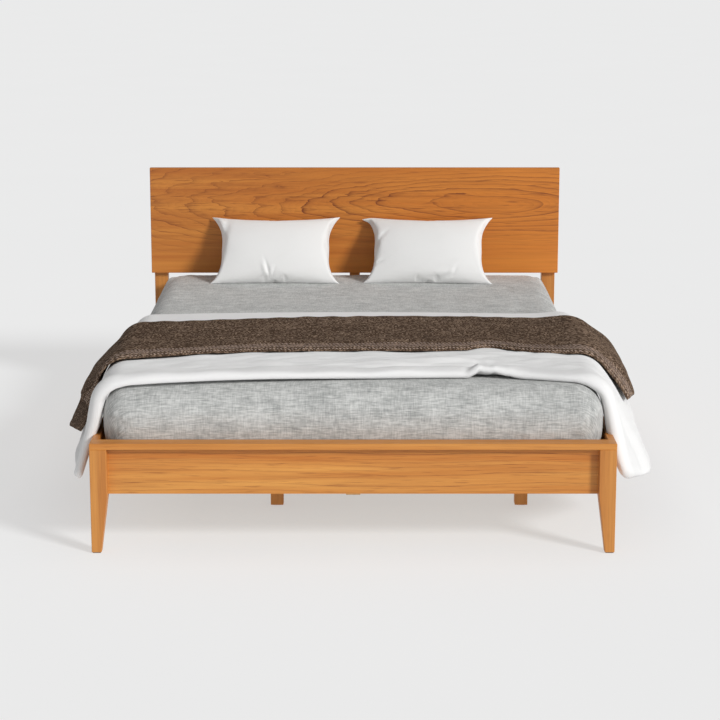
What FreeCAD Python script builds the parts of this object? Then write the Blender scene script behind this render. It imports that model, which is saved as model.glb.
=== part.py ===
import FreeCAD, Part
import math
import os
import re
import Sketcher

Vector = FreeCAD.Vector

# A queen platform bed of solid wood, with its bedding.
# X runs across the bed, Y from the foot to the head, Z up.
# The origin is on the floor, under the middle of the bed.
# Lengths are in millimetres.

doc = FreeCAD.newDocument("platform_bed")

# Driving sizes

SIZES = (
    ("mattress_width", 1540, "queen mattress across"),
    ("mattress_length", 2030, "queen mattress along"),
    ("mattress_thickness", 262, "mattress from slats to crown"),
    ("mattress_base", 245, "underside of the mattress above the floor"),
    ("mattress_edge", 52, "round of the mattress's upper edges"),
    ("mattress_lower_edge", 44, "round of the mattress's lower edges"),
    ("mattress_corner", 70, "round of the mattress's upright corners"),
    ("mattress_crown", 10, "rise of the mattress's middle over its sides"),
    ("side_gap", 8, "mattress to side rail"),
    ("foot_gap", 6, "mattress to footboard cap"),
    ("head_gap", 7, "mattress to headboard panel"),
    ("leg_width", 52, "front leg and rear post across"),
    ("front_leg_depth", 57, "front leg along the bed"),
    ("post_depth", 50, "rear post along the bed"),
    ("foot_size", 30, "foot of a tapered leg, square"),
    ("frame_top", 345, "top of cap and side rails"),
    ("rail_bottom", 182, "lower edge of rails and footboard panel"),
    ("rail_thickness", 22, "side rail"),
    ("cap_thickness", 19, "footboard cap"),
    ("eased_edge", 1.5, "chamfer of the boards' edges"),
    ("panel_setback", 25, "footboard panel behind the legs' front"),
    ("footboard_thickness", 22, "footboard panel"),
    ("headboard_width", 1620, "headboard panel across"),
    ("headboard_height", 420, "headboard panel"),
    ("headboard_thickness", 22, "headboard panel"),
    ("headboard_top", 935, "top of the headboard"),
    ("post_drop", 60, "rear post's top below the headboard's top"),
    ("head_rail_thickness", 22, "rail between the rear posts"),
    ("strut_width", 41, "headboard strut across"),
    ("strut_thickness", 28, "headboard strut along the bed"),
    ("tenon_length", 24, "tenon into leg, post or rail"),
    ("tenon_thickness", 10, "tenon"),
    ("tenon_shoulder", 20, "board's edge to its tenon"),
    ("joint_gap", 0.2, "clearance of a tenon, lap or lip"),
    ("slat_count", 13, "number of slats"),
    ("slat_width", 80, "slat along the bed"),
    ("slat_thickness", 18, "slat"),
    ("slat_end_gap", 3, "slat's end to side rail"),
    ("ledger_width", 28, "ledger under the slats' ends"),
    ("ledger_height", 40, "ledger under the slats' ends"),
    ("beam_width", 44, "cross beam and centre rail"),
    ("beam_height", 60, "cross beam and centre rail"),
    ("beam_inset", 550, "cross beam's middle to the bed's end"),
    ("lip_height", 25, "lip of a beam over its ledger or cleat"),
    ("near_leg_place", 253, "support leg from the middle, near one"),
    ("far_leg_inset", 224.5, "support leg from the side rail, far one"),
    ("support_leg_width", 42, "support leg, square"),
    ("cleat_width", 90, "cleat under the centre rail's end"),
    ("cleat_depth", 20, "cleat under the centre rail's end"),
    ("cleat_height", 18, "cleat under the centre rail's end"),
    ("bracket_height", 120, "steel corner bracket"),
    ("bracket_arm", 55, "corner bracket's arm along the rail"),
    ("bracket_thickness", 3, "corner bracket"),
    ("bracket_drop", 10, "bracket's top below the cap"),
    ("bolt_radius", 4, "bolt between a support leg and its beam"),
    ("bolt_length", 70, "bolt between a support leg and its beam"),
    ("hole_gap", 0.2, "radius of a hole over its bolt, and its depth past the bolt's end"),
    ("felt_size", 24, "square felt pad under a leg"),
    ("felt_thickness", 2.5, "felt pad under a leg"),
    ("soft_gap", 0.3, "clearance between soft pieces"),
    ("sheet_thickness", 1.6, "fitted sheet"),
    ("sheet_hem", 48, "fitted sheet's hem above the slats"),
    ("duvet_place", 125, "duvet's front edge from the bed's foot end"),
    ("duvet_depth", 1105, "duvet along the bed"),
    ("duvet_thickness", 24, "duvet"),
    ("duvet_hem", 45, "rolled edge of the duvet"),
    ("duvet_looseness", 9, "duvet's shoulder out from the mattress"),
    ("duvet_shoulder", 66, "round of the duvet's shoulder"),
    ("duvet_flare", 180, "duvet's tip out from its shoulder"),
    ("duvet_drop", 352, "duvet's tip below the mattress's crown"),
    ("throw_place", 440, "throw's front edge from the bed's foot end"),
    ("throw_depth", 565, "throw along the bed"),
    ("throw_thickness", 9, "throw, two layers of knit"),
    ("throw_looseness", 4, "throw off the duvet's hanging sides"),
    ("throw_drop", 345, "throw's tip below the duvet's crown"),
    ("pillow_width", 510, "pillow across, from corner to corner"),
    ("pillow_height", 335, "pillow's other side, from corner to corner"),
    ("pillow_thickness", 136, "pillow through its crown"),
    ("pillow_waist", 20, "draw of the pillow's short sides at their middle"),
    ("pillow_place", 298, "pillow's middle from the bed's middle"),
)

# Angles of the leaning pillows, in degrees
PILLOW_LEAN_ANGLE = 40
PILLOW_TURN_ANGLE = 2.5

# The drape of the duvet at each station along the bed, front to back.
# A row holds a side's flare and drop as shares, and the angle in degrees at which its shoulder ends.
DUVET_RIGHT_SHARES = (
    (0.44, 0.88, 66),
    (0.48, 0.90, 64),
    (0.84, 0.98, 56),
    (0.76, 0.96, 54),
    (0.88, 0.98, 52),
    (0.84, 0.99, 50),
    (0.98, 1.00, 50),
    (1.08, 1.00, 50),
    (0.88, 0.98, 54),
    (0.96, 0.96, 56),
    (0.90, 0.94, 58),
)
DUVET_LEFT_SHARES = (
    (0.34, 0.88, 68),
    (0.38, 0.90, 66),
    (0.58, 1.00, 60),
    (0.66, 1.00, 56),
    (0.82, 0.98, 52),
    (0.76, 1.00, 50),
    (0.92, 1.00, 50),
    (1.00, 1.00, 50),
    (0.88, 0.97, 54),
    (0.94, 0.95, 56),
    (0.84, 0.93, 58),
)
HEM_THICKNESS_SHARE = 0.40
FRONT_STATION_SHARE = 0.62
REAR_STATION_SHARE = 0.50

# The throw lies between the duvet's fourth and eighth stations.
THROW_STATION_SHARES = (0.00, 0.25, 0.50, 0.75, 1.00)
THROW_RIGHT_DROP_SHARES = (0.48, 0.54, 0.60, 0.66, 0.74)
THROW_LEFT_DROP_SHARES = (0.78, 0.84, 0.90, 0.96, 1.00)

# How closely the edges of a rounded block meet, of the gap in a joint
CLOSENESS_SHARE = 0.0005

# How far a pillow's long and short sides rise towards its middle, and how high their arcs would go.
LONG_RISE_SHARE = 0.94
SHORT_RISE_SHARE = 0.80
CROWN_SHARE = 1.015

sheet = doc.addObject("Spreadsheet::Sheet", "sizes")
for row, (alias, amount, meaning) in enumerate(SIZES, start=1):
    sheet.set(f"A{row}", meaning)
    sheet.set(f"B{row}", str(amount))
    sheet.setAlias(f"B{row}", alias)
doc.recompute()

# Sizes that follow from the driving ones

layout = doc.addObject("App::VarSet", "layout")
driving = {alias for alias, amount, meaning in SIZES}
derived = set()


def words(formula):
    """Puts the owner, the sheet or the layout, before each size that a formula names."""

    def owner(match):
        word = match.group(0)
        if word in driving:
            return "sizes." + word
        if word in derived:
            return "layout." + word
        return word

    return re.sub(r"[a-z][a-z_]+", owner, formula)


def derive(name, formula):
    """Adds a size that follows from others to the layout."""
    layout.addProperty("App::PropertyFloat", name)
    layout.setExpression(name, words(formula))
    derived.add(name)


def size(name):
    """Reads a size as a number."""
    return float(getattr(sheet if name in driving else layout, name))


derive("half_inner", "mattress_width / 2 + side_gap")
derive("half_width", "half_inner + rail_thickness")
derive("mattress_space", "foot_gap + mattress_length + head_gap")
derive("bed_length", "front_leg_depth + mattress_space + headboard_thickness + post_depth")
derive("front_face", "-bed_length / 2")
derive("leg_back", "front_face + front_leg_depth")
derive("panel_front", "front_face + panel_setback")
derive("panel_back", "panel_front + footboard_thickness")
derive("post_front", "bed_length / 2 - post_depth")
derive("headboard_front", "post_front - headboard_thickness")
derive("headboard_bottom", "headboard_top - headboard_height")
derive("post_top", "headboard_top - post_drop")
derive("cap_bottom", "frame_top - cap_thickness")
derive("leg_inner", "half_width - leg_width")
derive("rail_height", "frame_top - rail_bottom")
derive("rail_length", "post_front - leg_back")
derive("panel_height", "cap_bottom - rail_bottom")
derive("tenon_height", "panel_height - 2 * tenon_shoulder")
derive("slat_base", "mattress_base - soft_gap - slat_thickness")
derive("ledger_bottom", "slat_base - ledger_height")
derive("ledger_front", "leg_back + bracket_arm + joint_gap")
derive("ledger_length", "rail_length - 2 * (bracket_arm + joint_gap)")
derive("beam_bottom", "slat_base - beam_height")
derive("beam_place", "bed_length / 2 - beam_inset")
derive("beam_length", "2 * (half_inner - joint_gap)")
derive("far_leg_place", "half_inner - far_leg_inset")
derive("grid_length", "post_front - panel_back")
derive("centre_rail_length", "grid_length - 2 * joint_gap")
derive("slat_gap", "(grid_length - slat_count * slat_width) / (slat_count + 1)")
derive("mattress_front", "leg_back + foot_gap")
derive("mattress_top", "mattress_base + mattress_thickness")
derive("bracket_top", "cap_bottom - bracket_drop")
derive("bracket_bottom", "bracket_top - bracket_height")
derive("bracket_foot", "leg_width - rail_thickness")
derive("foot_middle", "half_width - foot_size / 2")
doc.recompute()

# Ways of making a piece

made = {}


def bind(item, **formulas):
    """Binds an object's sizes to formulas; place_x, place_y and place_z bind its Placement."""
    for name, formula in formulas.items():
        item.setExpression(name.replace("place_", "Placement.Base."), words(formula))


def keep(item, name):
    """Lists an object as the sub-part called name."""
    item.Label = name
    made[name] = item
    return item


def start_body(name, x="0", y="0", z="0"):
    """Starts a body whose own origin stands at the place given."""
    body = doc.addObject("PartDesign::Body", name)
    bind(body, place_x=x, place_y=y, place_z=z)
    return body


def start_sketch(body, name, role, away="0"):
    """Starts a sketch on the body's own plane of the role given, moved along its normal by away."""
    plane = [feature for feature in body.Origin.OriginFeatures if feature.Role == role][0]
    sketch = body.newObject("Sketcher::SketchObject", f"{body.Name}_{name}")
    sketch.AttachmentSupport = [(plane, "")]
    sketch.MapMode = "FlatFace"
    sketch.setExpression("AttachmentOffset.Base.z", words(away))
    return sketch


def hold(sketch, kind, geometry, point, formula):
    """Binds a point's distance from the sketch's origin to a formula."""
    index = sketch.addConstraint(Sketcher.Constraint(kind, -1, 1, geometry, point, 1.0))
    sketch.setExpression(f"Constraints[{index}]", words(formula))


def add_outline(sketch, corners):
    """Closes straight lines through corners, each a pair of formulas from the sketch's origin."""
    first = sketch.GeometryCount
    count = len(corners)
    for step in range(count):
        after = (step + 1) % count
        start = Vector(step + 1, (step + 1) ** 2, 0)
        end = Vector(after + 1, (after + 1) ** 2, 0)
        sketch.addGeometry(Part.LineSegment(start, end), False)
    for step in range(count):
        after = (step + 1) % count
        sketch.addConstraint(Sketcher.Constraint("Coincident", first + step, 2, first + after, 1))
    for step, (across, up) in enumerate(corners):
        hold(sketch, "DistanceX", first + step, 1, across)
        hold(sketch, "DistanceY", first + step, 1, up)


def add_circle(sketch, across, up, radius):
    """Draws a circle whose centre and radius are formulas."""
    index = sketch.addGeometry(Part.Circle(Vector(1, 1, 0), Vector(0, 0, 1), 1.0), False)
    hold(sketch, "DistanceX", index, 3, across)
    hold(sketch, "DistanceY", index, 3, up)
    bound = sketch.addConstraint(Sketcher.Constraint("Radius", index, 1.0))
    sketch.setExpression(f"Constraints[{bound}]", words(radius))


def rectangle(x, y, width, height):
    """Corners of a rectangle from its low corner and its two sides, all formulas."""
    right = f"({x}) + ({width})"
    upper = f"({y}) + ({height})"
    return ((x, y), (right, y), (right, upper), (x, upper))


def mirrored(corners, span):
    """The same corners turned over from left to right within a span."""
    return tuple((f"({span}) - ({across})", up) for across, up in reversed(corners))


def pad(body, sketch, length, backwards=False):
    """Pads a sketch by a length, along its plane's normal or against it."""
    feature = body.newObject("PartDesign::Pad", f"{sketch.Name}_pad")
    feature.Profile = sketch
    feature.Reversed = backwards
    feature.setExpression("Length", words(length))
    doc.recompute()
    return feature


def pocket(body, sketch, length, backwards=False):
    """Pockets a sketch against its normal, or along it, and makes sure that it takes something away."""
    before = body.Shape.Volume
    feature = body.newObject("PartDesign::Pocket", f"{sketch.Name}_pocket")
    feature.Profile = sketch
    feature.Reversed = backwards
    feature.setExpression("Length", words(length))
    doc.recompute()
    if body.Shape.Volume >= before:
        raise ValueError(f"{feature.Name} takes nothing away")
    return feature


def ease(body):
    """Breaks all edges of the body's last feature with a small chamfer."""
    last = body.Tip
    feature = body.newObject("PartDesign::Chamfer", f"{body.Name}_eased")
    feature.Base = (last, ["Edge1"])
    feature.UseAllEdges = True
    feature.setExpression("Size", words("eased_edge"))
    doc.recompute()


def drill(body, away, holes, backwards=False):
    """Drills holes for half of a bolt, up or down, at places given as pairs of formulas."""
    sketch = start_sketch(body, "bolt_holes", "XY_Plane", away)
    for across, along in holes:
        add_circle(sketch, across, along, "bolt_radius + hole_gap")
    pocket(body, sketch, "bolt_length / 2 + hole_gap", backwards)


def board(name, x, y, z, width, depth, height):
    """A board with eased edges, from its low corner and its three sides."""
    body = start_body(name, x, y, z)
    sketch = start_sketch(body, "face", "XY_Plane")
    add_outline(sketch, rectangle("0", "0", width, depth))
    pad(body, sketch, height)
    ease(body)
    return keep(body, name)


def gather(name, items):
    """Gathers alike pieces as one sub-part of separate solids."""
    whole = doc.addObject("Part::Compound", name)
    whole.Links = items
    return keep(whole, name)


# Tapered legs and posts, straight down to the rails and narrower from there to the foot

FOOT_RISE = "rail_bottom - felt_thickness"


def tapered_leg(name, side, depth, top, y, foot_in_front):
    """A leg whose inner face and whose face towards the mattress taper to a square foot."""
    x = "-half_width" if side == "left" else "leg_inner"
    body = start_body(name, x, y, "felt_thickness")
    height = f"{top} - felt_thickness"
    outline = (
        ("0", "0"),
        ("foot_size", "0"),
        ("leg_width", FOOT_RISE),
        ("leg_width", height),
        ("0", height),
    )
    sketch = start_sketch(body, "front", "XZ_Plane")
    add_outline(sketch, outline if side == "left" else mirrored(outline, "leg_width"))
    pad(body, sketch, depth, backwards=True)
    waste = (("foot_size", "0"), (depth, "0"), (depth, FOOT_RISE))
    taper = start_sketch(body, "taper", "YZ_Plane")
    add_outline(taper, waste if foot_in_front else mirrored(waste, depth))
    pocket(body, taper, "leg_width", backwards=True)
    ease(body)
    return keep(body, name)


def mortise(body, side, y):
    """A blind mortise in a leg's inner face, y from the leg's front to the tenon's."""
    sketch = start_sketch(body, "mortise", "YZ_Plane", "leg_width" if side == "left" else "0")
    add_outline(sketch, rectangle(
        f"({y}) - joint_gap",
        f"{FOOT_RISE} + tenon_shoulder - joint_gap",
        "tenon_thickness + 2 * joint_gap",
        "tenon_height + 2 * joint_gap",
    ))
    pocket(body, sketch, "tenon_length + joint_gap", backwards=side == "right")


for side in ("left", "right"):
    leg = tapered_leg(f"front_leg_{side}", side, "front_leg_depth", "cap_bottom", "front_face", True)
    mortise(leg, side, "panel_setback + (footboard_thickness - tenon_thickness) / 2")
    post = tapered_leg(f"headboard_post_{side}", side, "post_depth", "post_top", "post_front", False)
    mortise(post, side, "(head_rail_thickness - tenon_thickness) / 2")

# Footboard, head rail and headboard


def tenoned_board(name, y, thickness):
    """A board between two legs with a stub tenon on each end."""
    body = start_body(name, "-leg_inner", y, "rail_bottom")
    sketch = start_sketch(body, "face", "XZ_Plane")
    add_outline(sketch, rectangle("0", "0", "2 * leg_inner", "panel_height"))
    pad(body, sketch, thickness, backwards=True)
    for end, start in (("left", "-tenon_length"), ("right", "2 * leg_inner")):
        tenon = start_sketch(body, f"tenon_{end}", "XZ_Plane", f"({thickness} - tenon_thickness) / -2")
        add_outline(tenon, rectangle(start, "tenon_shoulder", "tenon_length", "tenon_height"))
        pad(body, tenon, "tenon_thickness", backwards=True)
    return keep(body, name)


tenoned_board("footboard_panel", "panel_front", "footboard_thickness")
head_rail = tenoned_board("head_rail", "post_front", "head_rail_thickness")
board("footboard_cap", "-half_width", "front_face", "cap_bottom",
      "2 * half_width", "front_leg_depth", "cap_thickness")

board("headboard_panel", "-headboard_width / 2", "headboard_front", "headboard_bottom",
      "headboard_width", "headboard_thickness", "headboard_height")

strut = start_body("headboard_strut", "-strut_width / 2", "post_front", "cap_bottom")
strut_face = start_sketch(strut, "face", "XZ_Plane")
add_outline(strut_face, rectangle("0", "0", "strut_width", "post_top - cap_bottom"))
pad(strut, strut_face, "strut_thickness", backwards=True)
ease(strut)
stub = start_sketch(strut, "stub", "XY_Plane")
stub_front = "(head_rail_thickness - tenon_thickness) / 2"
add_outline(stub, rectangle("strut_width / 4", stub_front, "strut_width / 2", "tenon_thickness"))
pad(strut, stub, "tenon_length", backwards=True)
keep(strut, "headboard_strut")

socket = start_sketch(head_rail, "socket", "XY_Plane", "panel_height")
add_outline(socket, rectangle(
    "leg_inner - strut_width / 4 - joint_gap",
    f"{stub_front} - joint_gap",
    "strut_width / 2 + 2 * joint_gap",
    "tenon_thickness + 2 * joint_gap",
))
pocket(head_rail, socket, "tenon_length + joint_gap")

# Side rails with the ledgers that carry the slats' ends

for side, x in (("left", "-half_width"), ("right", "half_inner")):
    board(f"side_rail_{side}", x, "leg_back", "rail_bottom", "rail_thickness", "rail_length",
          "rail_height")


def notch(place, half, floor, level):
    """Four corners of a notch about a place, from the left, from level down or up to floor."""
    return [
        (f"({place}) - ({half})", level),
        (f"({place}) - ({half})", floor),
        (f"({place}) + ({half})", floor),
        (f"({place}) + ({half})", level),
    ]


BEAM_HALF = "beam_width / 2 + joint_gap"
for side, x in (("left", "-half_inner"), ("right", "half_inner - ledger_width")):
    ledger = start_body(f"slat_ledger_{side}", x, "ledger_front", "ledger_bottom")
    edge = start_sketch(ledger, "edge", "YZ_Plane")
    seat = "ledger_height - lip_height - joint_gap"
    top_edge = [("0", "ledger_height")]
    for place in ("-beam_place - ledger_front", "beam_place - ledger_front"):
        top_edge += notch(place, BEAM_HALF, seat, "ledger_height")
    top_edge.append(("ledger_length", "ledger_height"))
    add_outline(edge, [("ledger_length", "0"), ("0", "0")] + top_edge)
    pad(ledger, edge, "ledger_width")
    keep(ledger, f"slat_ledger_{side}")

# Support grid: two cross beams and a centre rail, halved over each other


def halved_beam(name, role, length, end, laps, lapped_above, x, y):
    """A beam with a thin lip on each end and halvings in its upper or its lower edge."""
    body = start_body(name, x, y, "beam_bottom")
    lip = "beam_height - lip_height"
    lower = [(end, "0")]
    upper = [("0", "beam_height")]
    for place in laps:
        if lapped_above:
            upper += notch(place, BEAM_HALF, "(beam_height - joint_gap) / 2", "beam_height")
        else:
            lower += notch(place, BEAM_HALF, "(beam_height + joint_gap) / 2", "0")
    lower.append((f"{length} - ({end})", "0"))
    upper.append((length, "beam_height"))
    right_end = [(f"{length} - ({end})", lip), (length, lip)]
    left_end = [("0", lip), (end, lip)]
    sketch = start_sketch(body, "side", role)
    add_outline(sketch, lower + right_end + upper[::-1] + left_end)
    pad(body, sketch, "beam_width", role == "XZ_Plane")
    return keep(body, name)


LEG_PLACES = {
    "front": ("-near_leg_place", "far_leg_place"),
    "rear": ("-far_leg_place", "near_leg_place"),
}
leg_bolts = []
for end, middle in (("front", "-beam_place"), ("rear", "beam_place")):
    beam = halved_beam(f"cross_beam_{end}", "XZ_Plane", "beam_length", "ledger_width",
                       ["beam_length / 2"], True, "-beam_length / 2", f"{middle} - beam_width / 2")
    drill(beam, "0", [(f"beam_length / 2 + ({across})", "beam_width / 2") for across in LEG_PLACES[end]],
          True)
    for side, across in zip(("left", "right"), LEG_PLACES[end]):
        name = f"support_leg_{end}_{side}"
        leg = board(name, f"{across} - support_leg_width / 2", f"{middle} - support_leg_width / 2",
                    "felt_thickness", "support_leg_width", "support_leg_width",
                    "beam_bottom - felt_thickness")
        drill(leg, "beam_bottom - felt_thickness", [("support_leg_width / 2", "support_leg_width / 2")])
        bolt = doc.addObject("Part::Cylinder", f"bolt_{end}_{side}")
        bind(bolt, Radius="bolt_radius", Height="bolt_length", place_x=across, place_y=middle,
             place_z="beam_bottom - bolt_length / 2")
        leg_bolts.append(bolt)
gather("leg_bolts", leg_bolts)

halved_beam("centre_rail", "YZ_Plane", "centre_rail_length", "cleat_depth",
            [f"{middle} - panel_back - joint_gap" for middle in ("-beam_place", "beam_place")],
            False, "-beam_width / 2", "panel_back + joint_gap")
for end, y in (("front", "panel_back"), ("rear", "post_front - cleat_depth")):
    board(f"rail_cleat_{end}", "-cleat_width / 2", y,
          "slat_base - lip_height - joint_gap - cleat_height",
          "cleat_width", "cleat_depth", "cleat_height")

# Slats

for number in range(int(size("slat_count"))):
    board(f"slat_{number + 1:02d}", "-half_inner + slat_end_gap",
          f"panel_back + slat_gap + {number} * (slat_width + slat_gap)", "slat_base",
          "2 * (half_inner - slat_end_gap)", "slat_width", "slat_thickness")

# Steel corner brackets between legs and side rails


def bracket(end, side):
    """An angle whose foot lies on the leg or post and whose arm lies on the side rail."""
    name = f"bracket_{end}_{side}"
    x = "-half_inner" if side == "left" else "half_inner - bracket_foot"
    y = "leg_back" if end == "front" else "post_front - bracket_arm"
    body = start_body(name, x, y, "bracket_bottom")
    plan = (
        ("0", "0"),
        ("bracket_foot", "0"),
        ("bracket_foot", "bracket_thickness"),
        ("bracket_thickness", "bracket_thickness"),
        ("bracket_thickness", "bracket_arm"),
        ("0", "bracket_arm"),
    )
    if side == "right":
        plan = mirrored(plan, "bracket_foot")
    if end == "rear":
        plan = tuple((across, f"bracket_arm - ({up})") for across, up in reversed(plan))
    sketch = start_sketch(body, "plan", "XY_Plane")
    add_outline(sketch, plan)
    pad(body, sketch, "bracket_height")
    return body


gather("corner_brackets", [bracket(end, side) for end in ("front", "rear") for side in ("left", "right")])

# Felt pads under all legs

pads = []
for sign in ("-", ""):
    for sign_along in ("-", ""):
        pads.append((f"{sign}foot_middle", f"{sign_along}(bed_length / 2 - foot_size / 2)"))
for end, middle in (("front", "-beam_place"), ("rear", "beam_place")):
    for across in LEG_PLACES[end]:
        pads.append((across, middle))
felts = []
for across, along in pads:
    felt = doc.addObject("Part::Box", "felt")
    bind(felt, Length="felt_size", Width="felt_size", Height="felt_thickness",
         place_x=f"{across} - felt_size / 2", place_y=f"{along} - felt_size / 2")
    felts.append(felt)
gather("felt_pads", felts)

# Soft pieces: shapes from lines and arcs that read the same sizes


def soft_piece(name, shape, placement=None):
    """Keeps a soft piece's shape as a sub-part."""
    feature = doc.addObject("Part::Feature", name)
    feature.Shape = shape
    if placement:
        feature.Placement = placement
    return keep(feature, name)


def turned(centre, radius, angle):
    """A point on a circle in X and Z, its angle in radians from straight up towards +X."""
    return (centre[0] + radius * math.sin(angle), centre[1] + radius * math.cos(angle))


def arc(centre, radius, start, end, y):
    """An arc in a plane across the bed, from one angle to another."""
    points = [turned(centre, radius, angle) for angle in (start, (start + end) / 2, end)]
    return Part.Arc(*[Vector(x, y, z) for x, z in points]).toShape()


def line(start, end, y):
    """A straight edge in a plane across the bed."""
    return Part.makeLine(Vector(start[0], y, start[1]), Vector(end[0], y, end[1]))


crown_rise = size("mattress_crown")
half_mattress = size("mattress_width") / 2
crown_radius = (half_mattress ** 2 + crown_rise ** 2) / (2 * crown_rise)
crown_centre = (0.0, size("mattress_top") - crown_radius)


def shoulder_centre(reach, radius, crown):
    """Centre and first angle of a shoulder that leaves the crown smoothly and reaches out to reach."""
    angle = math.asin((reach - radius) / (crown - radius))
    return turned(crown_centre, crown - radius, angle), angle


def mattress_section(grow, y):
    """The mattress's rounded outline across the bed, grown by a distance on every side."""
    edge = size("mattress_edge")
    low = size("mattress_lower_edge")
    centre, first = shoulder_centre(half_mattress, edge, crown_radius)
    upper = edge + grow
    lower = low + grow
    low_centre = (half_mattress - low, size("mattress_base") + low)
    mirror_centre = (-centre[0], centre[1])
    low_mirror = (-low_centre[0], low_centre[1])
    quarter = math.pi / 2
    edges = [
        arc(crown_centre, crown_radius + grow, -first, first, y),
        arc(centre, upper, first, quarter, y),
        line(turned(centre, upper, quarter), turned(low_centre, lower, quarter), y),
        arc(low_centre, lower, quarter, 2 * quarter, y),
        line(turned(low_centre, lower, 2 * quarter), turned(low_mirror, lower, 2 * quarter), y),
        arc(low_mirror, lower, 2 * quarter, 3 * quarter, y),
        line(turned(low_mirror, lower, 3 * quarter), turned(mirror_centre, upper, 3 * quarter), y),
        arc(mirror_centre, upper, -quarter, -first, y),
    ]
    return Part.Wire(edges)


def rounded_box(box, radius, direction):
    """A box with its edges along a direction rounded."""
    chosen = [edge for edge in box.Edges if abs(edge.tangentAt(edge.FirstParameter).dot(direction)) > 0.5]
    return box.makeFillet(radius, chosen)


def mattress_block(grow):
    """What is common to the crowned section, the rounded side view and the rounded plan, all grown alike."""
    closeness = size("joint_gap") * CLOSENESS_SHARE
    front = size("mattress_front") - grow
    length = size("mattress_length") + 2 * grow
    width = size("mattress_width") + 2 * grow
    height = size("mattress_thickness") + 2 * grow
    corner = Vector(-width / 2, front, size("mattress_base") - grow)
    box = Part.makeBox(width, length, height, corner)
    crowned = Part.Face(mattress_section(grow, front)).extrude(Vector(0, length, 0))
    side_view = rounded_box(box, size("mattress_edge") + grow, Vector(1, 0, 0))
    plan = rounded_box(box, size("mattress_corner") + grow, Vector(0, 0, 1))
    block = crowned.common(side_view).common(plan)
    block.fix(closeness, closeness, closeness)
    return block


mattress = mattress_block(0)
soft_piece("mattress", mattress)

sheet_inner = size("soft_gap")
sheet_outer = sheet_inner + size("sheet_thickness")
cover = mattress_block(sheet_outer).cut(mattress_block(sheet_inner))
below = cover.BoundBox
hem = size("mattress_base") + size("sheet_hem")
open_base = Part.makeBox(below.XLength, below.YLength, hem - below.ZMin,
                         Vector(below.XMin, below.YMin, below.ZMin))
soft_piece("fitted_sheet", cover.cut(open_base))


class Drape:
    """One side of a hanging cloth: a shoulder arc, then a wider arc down to its tip."""

    def __init__(self, crown, reach, radius, turn, tip):
        self.crown = crown
        self.radius = radius
        self.centre, self.first = shoulder_centre(reach, radius, crown)
        self.turn = turn
        end = turned(self.centre, radius, turn)
        gap = (tip[0] - end[0], tip[1] - end[1])
        facing = gap[0] * math.sin(turn) + gap[1] * math.cos(turn)
        self.wide = -(gap[0] ** 2 + gap[1] ** 2) / (2 * facing)
        self.wide_centre = turned(end, -self.wide, turn)
        self.last = math.atan2(tip[0] - self.wide_centre[0], tip[1] - self.wide_centre[1])

    def edges(self, out, y):
        """The shoulder and the drape, moved out by a distance."""
        return [
            arc(self.centre, self.radius + out, self.first, self.turn, y),
            arc(self.wide_centre, self.wide + out, self.turn, self.last, y),
        ]

    def tip(self, out):
        """The tip, moved out by a distance."""
        return turned(self.wide_centre, self.wide + out, self.last)

    def at_height(self, height, out):
        """The point of the drape at a height, moved out by a distance."""
        angle = math.acos((height - self.wide_centre[1]) / (self.wide + out))
        return turned(self.wide_centre, self.wide + out, angle)


def mirror_edges(edges, y):
    """The same edges on the bed's other side."""
    return [edge.mirror(Vector(0, y, 0), Vector(1, 0, 0)) for edge in edges]


def cloth_section(left, right, thick, y):
    """The closed outline of a hanging cloth between its inner side and its outer side."""
    crown = right.crown
    upper = arc(crown_centre, crown + thick, -left.first, right.first, y)
    lower = arc(crown_centre, crown, -left.first, right.first, y)
    right_end = line(right.tip(thick), right.tip(0), y)
    left_end = mirror_edges([line(left.tip(thick), left.tip(0), y)], y)[0]
    edges = [upper] + right.edges(thick, y) + [right_end] + right.edges(0, y)[::-1]
    edges += [lower] + mirror_edges(left.edges(0, y), y) + [left_end]
    edges += mirror_edges(left.edges(thick, y), y)[::-1]
    return Part.Wire(Part.__sortEdges__(edges))


duvet_crown = crown_radius + sheet_outer + size("soft_gap")
duvet_reach = half_mattress + sheet_outer + size("duvet_looseness")
duvet_front = size("front_face") + size("duvet_place")
duvet_back = duvet_front + size("duvet_depth")
throw_front = size("front_face") + size("throw_place")
throw_back = throw_front + size("throw_depth")
duvet_hem = size("duvet_hem")
stations = [duvet_front, duvet_front + duvet_hem]
stations.append(stations[-1] + FRONT_STATION_SHARE * (throw_front - stations[-1]))
throw_stations = [throw_front + share * (throw_back - throw_front) for share in THROW_STATION_SHARES]
stations += throw_stations
stations.append(throw_back + REAR_STATION_SHARE * (duvet_back - duvet_hem - throw_back))
stations += [duvet_back - duvet_hem, duvet_back]


def duvet_side(row):
    """A side of the duvet from its row of shares."""
    flare, drop, turn = row
    tip = (duvet_reach + flare * size("duvet_flare"), size("mattress_top") - drop * size("duvet_drop"))
    return Drape(duvet_crown, duvet_reach, size("duvet_shoulder"), math.radians(turn), tip)


duvet_sides = [(duvet_side(left), duvet_side(right))
               for left, right in zip(DUVET_LEFT_SHARES, DUVET_RIGHT_SHARES)]
duvet_rings = []
for station, (left, right) in zip(stations, duvet_sides):
    at_hem = station in (duvet_front, duvet_back)
    thick = size("duvet_thickness") * (HEM_THICKNESS_SHARE if at_hem else 1)
    duvet_rings.append(cloth_section(left, right, thick, station))
soft_piece("duvet", Part.makeLoft(duvet_rings, True, True))

throw_crown = duvet_crown + size("duvet_thickness") + size("soft_gap")
throw_reach = duvet_reach + size("duvet_thickness") + size("throw_looseness")
throw_out = size("duvet_thickness") + size("throw_looseness")


def throw_side(below, drop):
    """A side of the throw, lying off the duvet's side below it."""
    height = size("mattress_top") - drop * size("throw_drop")
    tip = below.at_height(height, throw_out)
    return Drape(throw_crown, throw_reach, size("duvet_shoulder") + size("duvet_thickness"), below.turn, tip)


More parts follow.
